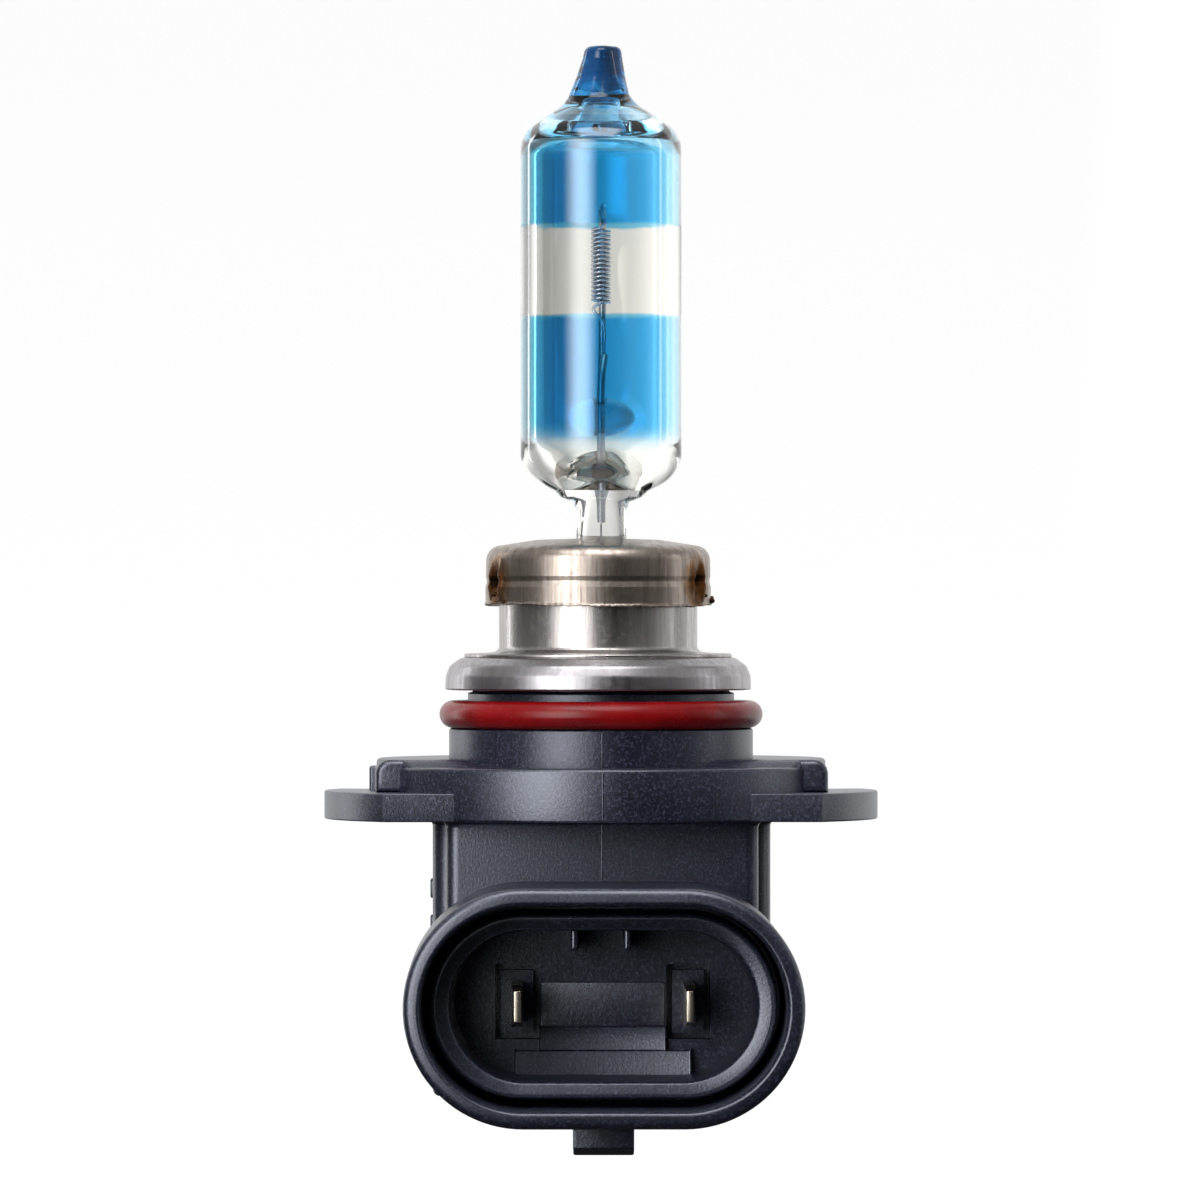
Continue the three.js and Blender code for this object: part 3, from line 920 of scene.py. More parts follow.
@dataclass(frozen=True)
class CoatedQuartz:
    """Clear quartz with a blue filter coating that leaves a window round the filament."""

    name: str = "coated_quartz"
    window_low: float = 32.9
    window_high: float = 39.2
    edge_blur: float = 0.12
    edge_wave: float = 0.09
    fade_low: float = 24.2
    shoulder_low: float = 45.0
    tip_low: float = 46.7
    band_low: float = 49.5
    blue: Triple = (0.22, 0.67, 0.93)
    # left_shade_blue and blue are painted shade and light: the tube's blue runs from darker on the left to
    # lighter on the right.
    left_shade_blue: Triple = (0.05, 0.47, 0.76)
    deep_blue: Triple = (0.003, 0.06, 0.2)
    pale_tip: Triple = (0.01, 0.17, 0.42)
    night_blue: Triple = (0.003, 0.015, 0.08)
    clear: Triple = srgb(246, 246, 242)

    def build(self) -> Material:
        """Makes the material.

        The coating's mask is made of ramps along the axis, wavy at their edges. It is streaked at the
        shoulder. Its blue is painted darker on the tube's left side, a painted shade, and pales to clear
        towards the glass's outline, a painted bright edge, but not on the melted tip.

        Returns:
            The material.
        """
        finish = Finish(self.name)
        nodes = finish.nodes
        across, _, up = nodes.split(finish.place)
        wobble = nodes.noise(finish.place, 330.0, 3.0)
        wave = self.edge_wave * MM
        height = nodes.math("ADD", up, nodes.between(wobble, 0.3, 0.7, -wave, wave))
        above, below, foot, shoulder, tip, band = (
            nodes.between(height, start * MM, end * MM, smooth=True)
            for start, end in (
                (self.window_high - self.edge_blur, self.window_high + self.edge_blur),
                (self.window_low + self.edge_blur, self.window_low - self.edge_blur),
                (self.fade_low - 1.1, self.fade_low + 1.3),
                (self.shoulder_low, self.shoulder_low + 0.9),
                (self.tip_low, self.tip_low + 1.5),
                (self.band_low, self.band_low + 0.5),
            )
        )
        coated = nodes.math("ADD", above, nodes.math("MULTIPLY", below, foot), clamp=True)
        streaks = nodes.between(wobble, 0.42, 0.58, 0.05, 0.5)
        worn = nodes.math("MULTIPLY", nodes.math("SUBTRACT", shoulder, tip, clamp=True), streaks)
        coated = nodes.math("SUBTRACT", coated, worn, clamp=True)
        swirl = nodes.noise(finish.place, 620.0, 2.0, in_Distortion=1.5)
        melted = nodes.blend(nodes.between(swirl, 0.42, 0.62), self.deep_blue, self.pale_tip)
        melted = nodes.blend(nodes.math("MULTIPLY", band, 0.6), melted, self.night_blue)
        # Painted shade: the tube's blue is darker towards -X and lighter towards +X.
        tube = nodes.blend(nodes.between(across, -3.6 * MM, 2.4 * MM), self.left_shade_blue, self.blue)
        # Painted bright edge: the coat's colour fades to clear towards the glass's outline, standing in for
        # light along the edges; less on the shoulder and none on the melted tip.
        facing = nodes.add("ShaderNodeLayerWeight", in_Blend=0.5).outputs["Facing"]
        spare = nodes.math("SUBTRACT", 0.8, nodes.math("MULTIPLY", shoulder, 0.45))
        painted_edge_light = nodes.math("MULTIPLY", nodes.between(facing, 0.22, 0.62, smooth=True), spare)
        pale = nodes.math("SUBTRACT", painted_edge_light, tip, clamp=True)
        colour = nodes.blend(pale, nodes.blend(tip, tube, melted), self.clear)
        finish.feed(nodes.blend(coated, self.clear, colour), "Base Color")
        finish.feed(nodes.math("SUBTRACT", coated, tip, clamp=True), "Coat Weight")
        finish.plain(Transmission_Weight=1.0, IOR=1.46, Roughness=0.0, Metallic=0.0)
        finish.plain(Coat_IOR=1.5, Coat_Roughness=0.06)
        finish.bump(nodes.noise(finish.place, 160.0, 1.0), 0.12, 0.0002)
        return finish.material


@dataclass(frozen=True)
class ClearQuartz:
    """Clear quartz, slightly wavy."""

    name: str = "clear_quartz"
    colour: Triple = (0.62, 0.76, 0.86)

    def build(self) -> Material:
        """Makes the material.

        Returns:
            The material.
        """
        finish = Finish(self.name)
        waves = finish.effect(Effect.SPECKLE, Fleck_Size=900.0, Mottle_Size=180.0)["Mottle"]
        thick = tuple(v * 0.97 for v in self.colour)
        finish.feed(finish.nodes.blend(waves, self.colour, thick), "Base Color")
        finish.plain(Transmission_Weight=1.0, IOR=1.22, Roughness=0.0)
        finish.bump(waves, 0.1, 0.0001)
        return finish.material


# ---------------------------------------------------------------- glass capsule


@dataclass
class GlassCapsule:
    """The quartz envelope, the filament, its leads, the bridge and the foils."""

    wall: float = 1.02
    swell: float = 0.15
    tube_top: float = 44.3
    bowl_top: float = 23.4
    bowl_bottom: float = 20.2
    pinch_thickness: float = 3.5
    pinch_width: float = 8.6
    tip_lean: float = 0.12
    coil_turns: int = 17
    coil_radius: float = 0.6
    coil_wire: float = 0.11
    lead_offset: float = 2.1
    lead_radius: float = 0.27

    def __post_init__(self) -> None:
        """Works out the tube's outer radius from the envelope's node."""
        self.radius = Extent.of("glass_envelope").radius + self.swell

    def outside(self) -> Surface:
        """The envelope's outside, as rings from the flat pinch through the round tube to the melted tip.

        A ring is (a c, b s), where c and s are the cosine and sine raised to a power that squares it up.
        Sines of the angle make the tip and the tube's foot uneven.

        Returns:
            The outside, closed.
        """
        box = Extent.of("glass_envelope")
        press = np.array([
            (box.bottom, 1.0, 1.0, 0.25), (10.5, 1.0, 1.0, 0.25), (14.0, 1.0, 1.0, 0.25),
            (17.5, 1.0, 1.0, 0.28), (19.4, 1.0, 0.93, 0.4), (20.0, 1.14, 0.88, 0.6), (20.35, 1.62, 0.86, 0.8),
        ])
        bowl = np.linspace(0.62, QUARTER, 18)
        bowl_heights = self.bowl_top - (self.bowl_top - self.bowl_bottom) * np.cos(bowl)
        straight = np.linspace(self.bowl_top, self.tube_top - 6, 30)[1:-1]
        shoulder = rounded([
            (self.radius, self.tube_top - 6, 0), (self.radius, 45.5, 2.1), (3.9, 46.75, 0.9),
            (2.75, 47.45, 1.2), (2.12, 48.15, 1.2), (1.66, 49.5, 1.5), (1.3, 50.8, 1.0),
            (1.12, box.top - 0.05, 0.5), (0.0, box.top, 0),
        ], steps=12)[:-1]
        heights = np.concatenate([press[:, 0], bowl_heights, straight, shoulder[:, 1]])
        plain = np.full(len(straight), self.radius)
        round_radius = np.concatenate([self.radius * np.sin(bowl), plain, shoulder[:, 0]])
        half_x = np.concatenate([press[:, 1] * self.pinch_thickness / 2, round_radius])[:, None]
        half_y = np.concatenate([press[:, 2] * self.pinch_width / 2, round_radius])[:, None]
        power = np.concatenate([press[:, 3], np.ones(len(round_radius))])[:, None]
        angles = around(160)
        c, s = np.cos(angles)[None, :], np.sin(angles)[None, :]
        x = half_x * np.sign(c) * np.abs(c) ** power
        y = half_y * np.sign(s) * np.abs(s) ** power
        z = np.broadcast_to(heights[:, None], x.shape)
        melt = np.clip((z - 47.4) / 4.3, 0, 1) ** 1.5
        wave = np.sin(angles * 2 + 0.7)[None, :] * 0.05 + np.sin(angles * 3)[None, :] * 0.04
        bulge = 0.14 * np.exp(-(((z - 48.6) / 0.9) ** 2))
        x = x + self.tip_lean * melt + x * wave * melt * 2.2 - bulge
        y = y + y * wave * melt * 1.8
        fold = 0.16 * np.exp(-(((z - 21.3) / 0.8) ** 2)) * np.sin(3 * angles + 0.9)[None, :]
        uneven = 1 + fold / self.radius
        return stacked(np.stack([x * uneven, y * uneven, z], axis=2))

    def hollow(self) -> Surface:
        """The envelope's inside, turned from a profile, with a ridge and two lobes pressed in its floor.

        Returns:
            The inside, with its faces towards the hollow.
        """
        foot, top, bore = self.bowl_bottom, self.tube_top, self.radius - self.wall
        inside = turned(rounded([
            (0.0, foot + 1.4, 0), (2.2, foot + 1.55, 2.2), (bore, foot + 3.0, 2.5), (bore, top + 0.7, 2.2),
            (2.6, top + 1.15, 0.9), (1.3, top + 2.0, 0.8), (0.9, top + 3.0, 0.5), (0.0, top + 3.4, 0),
        ], steps=14), 160).inside_out()
        low = np.clip((foot + 3.4 - inside.points[:, 2]) / 2.0, 0, 1)
        x, y = inside.points[:, 0], inside.points[:, 1]
        lobes = np.exp(-(((np.abs(x + 0.2) - 2.1) / 1.0) ** 2)) * np.exp(-((y / 3) ** 2))
        inside.points[:, 2] += low * (0.22 * np.exp(-((x / 0.8) ** 2)) - 0.36 * lobes)
        return inside

    def filament(self) -> Surface:
        """The coil and its two legs as one wire.

        The coil is (r sin a, -r cos a, z) with z rising evenly with a; a leg at each end leads to a lead.

        Returns:
            The wire.
        """
        box = Extent.of("filament")
        low, high = box.bottom + 3.6, box.top - 1.75
        angle = np.linspace(0, self.coil_turns * TAU, self.coil_turns * 40)
        height = np.linspace(low, high, len(angle))
        coil = np.stack([self.coil_radius * np.sin(angle), -self.coil_radius * np.cos(angle), height], axis=1)
        first = smooth_path(
            [(0.22, -1.05, low - 3.5), (0.12, -0.8, low - 1.4), (-0.5, -0.62, low - 0.35), tuple(coil[0])], 40
        )
        last = smooth_path(
            [tuple(coil[-1]), (0.3, -0.3, high + 0.4), (0.1, 0.1, high + 0.9), (0.1, 0.8, high + 1.7)], 30
        )
        return wire(np.concatenate([first[:-1], coil, last[1:]]), self.coil_wire, 10, up=(0.02, 0.03, 1))

    def leads(self) -> dict[str, Surface]:
        """The two leads above the pinch, each a wire along a smooth curve.

        Returns:
            Each lead's surface, by its node's name.
        """
        y, foot, top = self.lead_offset, Extent.of("lead_short").bottom, Extent.of("lead_long").top
        short = smooth_path(
            [(0, -y, foot), (0, -y, 22.0), (0, -y, 27.4), (0.05, -1.85, 28.8), (0.22, -1.15, 30.1)], 60
        )
        long = smooth_path([
            (0, y, foot), (0, y, 22.0), (0, y, 27.4), (0.1, 2.7, 30.0), (0.12, 2.9, 34.0),
            (0.12, 2.8, 38.4), (0.12, 2.2, 40.0), (0.1, 0.95, top - 0.3),
        ], 110)
        return {"lead_short": wire(short, self.lead_radius), "lead_long": wire(long, self.lead_radius)}

    def bridge(self) -> Surface:
        """The bridge: a bar along Y whose oval section swells in the middle, with rounded ends.

        Returns:
            The bridge, closed.
        """
        box = Extent.of("quartz_bridge")
        t = np.linspace(-1, 1, 40)[:, None]
        swell = np.sqrt(np.clip(1 - np.abs(t) ** 3.2, 0, 1))
        swell[0], swell[-1] = 0.04, 0.04
        angles = around(64)[None, :]
        x = box.radius * swell * np.cos(angles)
        y = np.broadcast_to(t * (box.high[1] - box.low[1]) / 2, x.shape)
        z = box.middle[2] + (box.top - box.bottom) / 2 * swell * np.sin(angles)
        return stacked(np.stack([x, y, z], axis=2))

    def build(self) -> list[Piece]:
        """Builds and dresses every piece of the capsule.

        Returns:
            The new pieces.
        """
        glass, coil, bead = joined(self.outside(), self.hollow()), self.filament(), self.bridge()
        quartz, clear = CoatedQuartz().build(), ClearQuartz().build()
        tungsten = BareWire("tungsten_wire", srgb(170, 170, 182), 0.22).build()
        molybdenum = BareWire("molybdenum_wire", srgb(150, 152, 158), 0.3).build()
        for node in ("seal_foil_front", "seal_foil_rear", "outer_lead_front", "outer_lead_rear"):
            dress(node, molybdenum)
        return [
            make_piece("capsule_glass", glass, quartz, "glass_envelope", 60),
            make_piece("wound_filament", coil, tungsten, "filament", 80),
            *(
                make_piece(node + "_wire", surface, molybdenum, node, 60)
                for node, surface in self.leads().items()
            ),
            make_piece("bridge_bead", bead, clear, "quartz_bridge", 60),
        ]


# ---------------------------------------------------------------- metal holder


@dataclass
class MetalHolder:
    """The domed cup with its welds, the sleeve, the clip and the bevelled flange."""

    sheet: float = 0.4
    crease: float = 14.5
    weld_left: float = 204.0
    weld_right: float = -28.0
    weld_height: float = 14.35
    lean: float = -0.2
    sleeve_radius: float = 6.88
    dish_bottom: float = 6.95
    dish_hole: float = 6.2

    def weld_point(self, degrees: float) -> Triple:
        """Where a weld sits on the cup's side, for an angle about the axis."""
        radius, angle = Extent.of("holder_cup").radius, math.radians(degrees)
        return radius * math.cos(angle), radius * math.sin(angle), self.weld_height

    def cup(self) -> Surface:
        """The cup: a turned profile with a crease and a torn lower rim, with pits pressed in at the welds.

        The rim's height is shifted by a sum of sines of the angle, and near each weld the radius drops by a
        bell of the distance on the side.

        Returns:
            The cup, closed.
        """
        box = Extent.of("holder_cup")
        radius, top, bottom = box.radius - 0.06, box.top, box.bottom
        inner = radius - self.sheet
        shell = turned(rounded([
            (0.6, top, 0), (4.2, top - 0.12, 6.0), (radius - 0.04, top - 0.66, 1.05),
            (radius, self.crease + 0.35, 0.2), (radius - 0.07, self.crease, 0.3),
            (radius + 0.03, self.crease - 0.4, 0.3), (radius + 0.03, bottom + 0.18, 0.25),
            (radius + 0.16, bottom + 0.02, 0.08), (inner + 0.1, bottom, 0.06), (inner, self.crease, 0.3),
            (inner, top - 1.0, 0.7), (4.2, top - 0.52, 3.0), (0.6, top - 0.4, 0),
        ], steps=8), 360)
        points = shell.points
        angle = np.arctan2(points[:, 1], points[:, 0])
        low = np.clip((bottom + 0.9 - points[:, 2]) / 0.9, 0, 1) ** 2
        points[:, 2] += low * (
            0.04 * np.sin(angle * 9 + 0.5) * np.sin(angle * 4)
            + 0.03 * np.sin(angle * 31 + 1.3) * np.sin(angle * 5 + 1)
            + 0.03 * np.sin(angle * 101 + 0.4) * np.sin(angle * 7)
            + 0.1 * np.sin(angle * 2 + 0.6)
        )
        out = np.hypot(points[:, 0], points[:, 1])
        outer = out > radius - 0.25
        for degrees, depth in ((self.weld_left, 0.34), (self.weld_right, 0.42)):
            off = points - self.weld_point(degrees)
            apart = np.sqrt(off[:, 0] ** 2 + off[:, 1] ** 2 + 0.55 * off[:, 2] ** 2)
            dent = depth * np.exp(-((apart / 0.42) ** 2)) - 0.2 * np.exp(-(((apart - 0.85) / 0.3) ** 2))
            points[:, :2] *= (1 - np.where(outer, dent, 0) / np.maximum(out, 1e-6))[:, None]
        return shell.placed(self.lean)

    def spatter(self) -> Surface:
        """Small beads of spatter near the welds, each a squashed ball on the cup's side.

        Returns:
            All the beads.
        """
        radius = Extent.of("holder_cup").radius - 0.02
        ball = unit_arc(np.linspace(-QUARTER, QUARTER, 14)) * [1, 0.7]
        ball[0, 0] = ball[-1, 0] = 0.0
        beads = []
        for degrees, height, size in (
            (self.weld_left, 13.6, 0.24),
            (self.weld_left + 9, 13.1, 0.16),
            (self.weld_left - 6, 14.9, 0.15),
            (self.weld_right + 22, 13.15, 0.3),
            (self.weld_right + 27, 13.35, 0.2),
            (self.weld_right + 8, 13.5, 0.18),
        ):
            angle = math.radians(degrees)
            bead = turned(size * ball, 24)
            beads.append(bead.placed(radius * math.cos(angle), radius * math.sin(angle), height))
        return joined(*beads).placed(self.lean)

    def sleeve(self) -> Surface:
        """The sleeve: a turned profile with a drawn wall, a round foot and a flat plate under it.

        Returns:
            The sleeve, closed.
        """
        box = Extent.of("focus_sleeve")
        foot, radius = box.bottom, self.sleeve_radius
        inner, lip, lip_inside = radius - self.sheet, 7.22, 6.85
        return turned(rounded([
            (inner, foot + 0.02, 0.1), (box.radius, foot + 0.02, 0.14), (box.radius, foot + 0.34, 0.14),
            (radius + 0.8, foot + 0.4, 0.1), (radius, foot + 0.5, 0.7), (radius, 13.3, 0.4),
            (lip, 13.9, 0.4), (lip, box.top, 0.15), (lip_inside, box.top, 0.15), (lip_inside, 14.1, 0.3),
            (inner, 13.5, 0.3),
        ], True, 5)).placed(self.lean)

    def dish(self) -> Surface:
        """The bevelled flange: a domed ring whose lower lip turns out a little.

        Returns:
            The ring, closed.
        """
        box = Extent.of("locating_flange")
        top, bottom, radius = box.top, self.dish_bottom, box.radius
        return turned(rounded([
            (self.dish_hole, top - 0.4, 0.1), (9.2, top - 0.4, 0.5), (9.95, top - 1.0, 0.6),
            (radius - 0.5, bottom, 0.1), (radius, bottom + 0.04, 0.12), (radius - 0.04, bottom + 1.0, 0.7),
            (10.3, top - 0.42, 0.6), (9.5, top + 0.16, 0.7), (self.dish_hole, top + 0.18, 0.1),
        ], True, 8)).placed(self.lean)

    def build(self) -> list[Piece]:
        """Builds and dresses the holder.

        Returns:
            The new pieces.
        """
        welds = (self.weld_point(self.weld_left), self.weld_point(self.weld_right))
        worn = NickelSteel("nickel_cup", srgb(186, 174, 164), srgb(134, 124, 116), 0.27, 0.2, welds).build()
        burnt = BareWire("burnt_metal", srgb(70, 48, 30), 0.5).build()
        bright = NickelSteel("nickel_bright", srgb(196, 191, 189), srgb(158, 153, 150), 0.24, 0.12).build()
        soft = NickelSteel("nickel_soft", srgb(184, 180, 183), srgb(154, 150, 153), 0.26, 0.1).build()
        dress("pinch_clip", bright)
        return [
            make_piece("domed_cup", self.cup(), worn, "holder_cup", 50),
            make_piece("weld_spatter", self.spatter(), burnt, sharp_degrees=80),
            make_piece("drawn_sleeve", self.sleeve(), bright, "focus_sleeve"),
            make_piece("bevelled_ring", self.dish(), soft, "locating_flange"),
        ]


# ---------------------------------------------------------------- moulded base


@dataclass
class MouldedBase:
    """The hub, the flange with its lugs and stops, the body and the socket, as closed forms that overlap."""

    flange_radius: float = 15.7
    flange_top: float = 1.7
    flange_raised: float = 2.24
    flange_bottom: float = -1.95
    ramp_start: float = -9.0
    ramp_end: float = -6.8
    hub_radius: float = 10.55
    neck_radius: float = 9.25
    neck_bottom: float = 4.3
    boss_radius: float = 8.9
    boss_top: float = 8.4
    lug_front: float = -12.0
    lug_rear_degrees: float = 18.0
    back_lug_degrees: float = 14.0
    body_bottom: float = -21.0
    collar: float = 0.45
    seam: float = 0.05
    socket_middle: float = -14.1
    socket_floor: float = -13.8
    blade_offset: float = 5.8
    shell: tuple[float, float] = (13.45, 8.05)
    pocket: tuple[float, float] = (3.0, 5.1)
    well: tuple[float, float] = (11.2, 5.6)
    gap: float = 0.42

    def __post_init__(self) -> None:
        """Reads the moulding's own box."""
        self.box = Extent.of("base_moulding")

    def hub(self) -> list[Surface]:
        """The hub with the O-ring's groove and the boss above it.

        Returns:
            One closed surface.
        """
        bottom, neck, boss = self.flange_bottom, self.neck_radius, self.boss_radius
        return [turned(rounded([
            (0.0, bottom, 0), (self.hub_radius, bottom, 0.1), (self.hub_radius, self.neck_bottom, 0.16),
            (neck, self.neck_bottom, 0.2), (neck, 6.75, 0.1), (boss, 6.85, 0.1), (boss, self.boss_top, 0.3),
            (5.8, self.boss_top, 0.15), (5.7, 4.5, 0.2), (0.0, 4.4, 0),
        ]), 200)]

    def lugs(self) -> list[Surface]:
        """The two side lugs and the back lug.

        A side lug has a straight front, a round outside and a straight rear side; the back lug has a straight
        root and a round outside.

        Returns:
            The right, the left and the back lug.
        """
        radius, reach = self.box.radius, self.box.high[1]
        last, half = math.radians(self.lug_rear_degrees), math.radians(self.back_lug_degrees)
        arc = radius * unit_arc(np.linspace(math.asin(self.lug_front / radius), last, 40))
        side = np.concatenate([[[8.0, self.lug_front]], arc, 13 * unit_arc(np.array([last]))])
        wide = reach * math.sin(half)
        arc = reach * unit_arc(np.linspace(QUARTER - half, QUARTER + half, 24))
        back = np.concatenate([[[-wide, 12.0], [wide, 12.0]], arc])
        bottom = self.flange_bottom
        right, rear = (prism(outline, bottom, 0.0, Along.Z, 0.12, 0.12) for outline in (side, back))
        return [right, right.mirrored(), rear]

    def flange(self) -> list[Surface]:
        """The flange disc, its raised rear part with a ramp, the lugs, the two stops and the outer step.

        Returns:
            Closed surfaces that overlap.
        """
        rim, top = self.flange_radius * unit_arc(around(240)), self.flange_raised
        disc = prism(rim, self.flange_bottom, self.flange_top, Along.Z, 0.2, 0.22)
        section = [(12.0, 0.0, 0), (15.55, 0.0, 0), (15.55, top, 1.0), (12.0, top - 0.02, 0)]
        stop = prism(rounded(section, True, 8), -7.4, 6.0, Along.Y, 0.45, 0.3, 8)
        step = prism(rectangle(-16.1, -14.0, 0.5, 4.5, 0.2), self.flange_bottom + 0.5, 1.65)
        return [disc, self.raised_part(), *self.lugs(), stop, stop.mirrored(), step]

    def raised_part(self) -> Surface:
        """The flange's raised rear: a disc whose height follows a ramp along Y.

        The height is the front level plus the rise times a smooth step of how far Y is up the ramp.

        Returns:
            The disc, closed.
        """
        angles, radius, rings = around(240), self.flange_radius, 40
        radii = np.concatenate([[radius - 0.12, radius - 0.2], np.linspace(radius - 0.35, 9.5, rings)])
        x, y = radii[:, None] * np.cos(angles), radii[:, None] * np.sin(angles)
        t = np.clip((y - self.ramp_start) / (self.ramp_end - self.ramp_start), 0, 1)
        rise = (self.flange_raised - self.flange_top + 0.25) * t * t * (3 - 2 * t)
        edge = np.array([0.22, 0.07] + [0.0] * rings)[:, None]
        top = np.stack([x, y, self.flange_top - 0.25 + rise - edge * (rise > 0.1)], axis=2)
        foot, end = top[:1].copy(), top[-1:].copy()
        foot[..., 2] = end[..., 2] = self.flange_top - 0.8
        return stacked(np.concatenate([foot, top, end]), loop=True)

    def body(self) -> list[Surface]:
        """The body under the flange: a wide rear box, a narrower front box and grip ribs at one side.

        Each box meets the flange in a collar, a quarter arc that flares out to the flange's underside.

        Returns:
            Closed surfaces that overlap.
        """
        under, flare = self.flange_bottom, self.collar
        turn = np.linspace(0, QUARTER, 7)
        levels = [(flare, under + 0.3)]
        levels += [(flare * (1 - math.sin(a)), under + 0.02 - flare * (1 - math.cos(a))) for a in turn]
        boxes, collars = [], []
        for x, y0, y1, corner, steps, edge in (
            (11.64, -6.0, 10.6, 1.3, 10, 0.5),
            (10.7, -10.0, 0.0, 0.9, 8, 0.4),
        ):
            outline = rectangle(-x, x, y0, y1, corner, steps)
            boxes.append(prism(outline, self.body_bottom, under + 0.6, low_edge=edge))
            outline = rectangle(-x, x, y0, y1, corner, 10)
            rings = [stand(offset_outline(outline, out), level, Along.Z) for out, level in levels]
            collars.append(stacked(np.stack(rings)))
        ribs = [rectangle(-3.2, -1.6, z, z + 1.35, 0.25) for z in (-7.4, -9.9)]
        return [*boxes, *collars, *(prism(rib, -11.82, -11.0, Along.X) for rib in ribs)]

    def split_line(self) -> list[Surface]:
        """The mould's split line: a thin raised seam down the fronts of the flange, the body and the hub.

        Returns:
            Three thin closed surfaces.
        """
        flange, hub = -self.flange_radius, -self.hub_radius
        return [
            prism(rectangle(-self.seam, self.seam, front, back, 0.01, 2), low, high, Along.Z, 0.02, 0.02)
            for front, back, low, high in (
                (flange - 0.04, flange + 0.4, self.flange_bottom + 0.25, self.flange_top - 0.25),
                (-10.05, -9.6, -8.5, self.flange_bottom),
                (hub - 0.04, hub + 0.4, self.flange_top, self.neck_bottom - 0.25),
            )
        ]

    def socket(self) -> list[Surface]:
        """The socket: stadium outlines joined from the shell's root over the rim and down to the floor.

        Each station is (half width, half height, Y, bend). The line of half heights and Y is rounded at its
        corners, and the half width is read off along it, so that every ring has both.

        Returns:
            One closed surface.
        """
        mouth, step = self.box.low[1], self.socket_floor + 2.2
        stations = [
            (*self.shell, -9.0, 0.0), (*self.shell, mouth + 0.14, 0.8), (12.45, 7.05, mouth, 0.25),
            (12.25, 6.85, mouth + 0.3, 0.15), (12.2, 6.8, -14.6, 0.3), (11.75, 6.25, -14.6, 0.1),
            (11.7, 6.2, -21.45, 0.3), (10.35, 5.1, -21.15, 0.3), (10.0, 4.8, step, 0.2), (8.8, 3.6, step, 0.0),
        ]
        heights = rounded([(high, y, bend) for _, high, y, bend in stations])
        widths, knots = np.array(stations).T[:2]
        spare = np.interp(-heights[:, 0], -knots, widths - knots)
        rings = [
            stand(stadium(2 * (high + more), 2 * high, self.socket_middle), y, Along.Y)
            for (high, y), more in zip(heights, spare)
        ]
        return [stacked(np.stack(rings))]

    def well_floor(self) -> list[Surface]:
        """The floor round the two pockets, and the pockets' blocks.

        Every plate reaches into the well's wall or its neighbour, so no gap shows but the one round each
        pocket.

        Returns:
            Closed plates.
        """
        mid, floor, gap = self.socket_middle, self.socket_floor, self.gap
        bottom, top = mid - self.well[1], mid + self.well[1]
        high, wide = self.pocket[1] / 2, self.pocket[0] / 2
        near, far = self.blade_offset - wide, self.blade_offset + wide
        plates = [(-near, near, bottom, top, floor)]
        for side in (-1, 1):
            left, right = sorted((side * near, side * far))
            plates.append((*sorted((side * far, side * self.well[0])), bottom, top, floor))
            plates.append((left, right, mid + high, top, floor))
            plates.append((left, right, bottom, mid - high, floor))
            plates.append((left + gap, right - gap, mid - high + gap, mid + high - gap, floor + 0.45))
        return [
            prism(rectangle(x0, x1, z0, z1, 0.02, 2), face, floor + 2.5, Along.Y, 0.0, 0.0)
            for x0, x1, z0, z1, face in plates
        ]

    def well_steps(self) -> list[Surface]:
        """What stands on the well's floor: a shelf, two keys and two ramps.

        Returns:
            Closed surfaces.
        """
        mid, floor = self.socket_middle, self.socket_floor
        near = self.blade_offset - self.pocket[0] / 2
        shelf = rectangle(-near + 0.1, near - 0.1, mid - 1.65, mid + 1.35, 0.08, 3)
        steps = [prism(shelf, floor - 0.16, floor + 0.5, Along.Y, 0.06, 0.05)]
        for x in (-1.95, 1.62):
            key = rectangle(x - 0.26, x + 0.26, mid + 3.7, mid + 5.2, 0.2, 5)
            steps.append(prism(key, -20.4, floor + 0.4, Along.Y, 0.22, 0.1))
        for half, top, low, start, end in ((near, 1.7, 3.3, 0.16, 0.75), (6.0, 3.3, 5.2, 0.7, 1.2)):
            ramp = rounded([
                (floor + 0.5, mid - top, 0), (floor - start, mid - top, 0.08),
                (floor - end, mid - low, 0.08), (floor + 0.5, mid - low, 0),
            ], True, 4)
            steps.append(prism(ramp[::-1], -half, half, Along.X))
        return steps

    def latch(self) -> list[Surface]:
        """The latch nose under the socket, with a ramped front.

        Returns:
            One closed surface.
        """
        low, root = self.box.bottom, self.body_bottom
        section = rounded([
            (-23.0, root, 0), (-23.0, low + 0.5, 0.15), (-21.8, low, 0.3), (-15.0, low, 0.3), (-15.0, root, 0),
        ], True, 5)
        return [prism(section, -2.05, 2.05, Along.X)]

    def build(self) -> list[Piece]:
        """Builds and dresses the moulding and its lid.

        Returns:
            The new pieces.
        """
        nylon = MouldedNylon().build()
        # The hub's and the body's copies of the nylon have lower gloss to dim their highlights: painted shade.
        satin = MouldedNylon("satin_nylon", gloss=0.62).build()
        even = MouldedNylon("body_nylon_dimmed", gloss=0.82).build()
        # A duller copy of the nylon for the well's floor: painted shade in the deep recess.
        shaded = MouldedNylon("well_nylon_shaded_copy", gloss=0.45).build()
        pieces = [
            make_piece(name, joined(*surfaces), material, "base_moulding", 36)
            for name, surfaces, material in (
                ("base_hub", self.hub(), satin),
                ("base_flange", self.flange(), nylon),
                ("base_body", self.body(), even),
                ("base_split_line", self.split_line(), nylon),
                ("base_socket", self.socket(), nylon),
                ("base_well_floor", self.well_floor(), shaded),
                ("base_well_steps", self.well_steps(), nylon),
                ("base_latch", self.latch(), even),
            )
        ]
        cover = Extent.of("rear_cover")
        outline = rectangle(cover.low[0], cover.high[0], cover.bottom, cover.top, 1.6, 8)
        lid = prism(outline, cover.low[1], cover.high[1] + 0.05, Along.Y, 0.2, 0.3)
        return [*pieces, make_piece("chamber_lid", lid, nylon, "rear_cover")]


# ---------------------------------------------------------------- seals and terminals


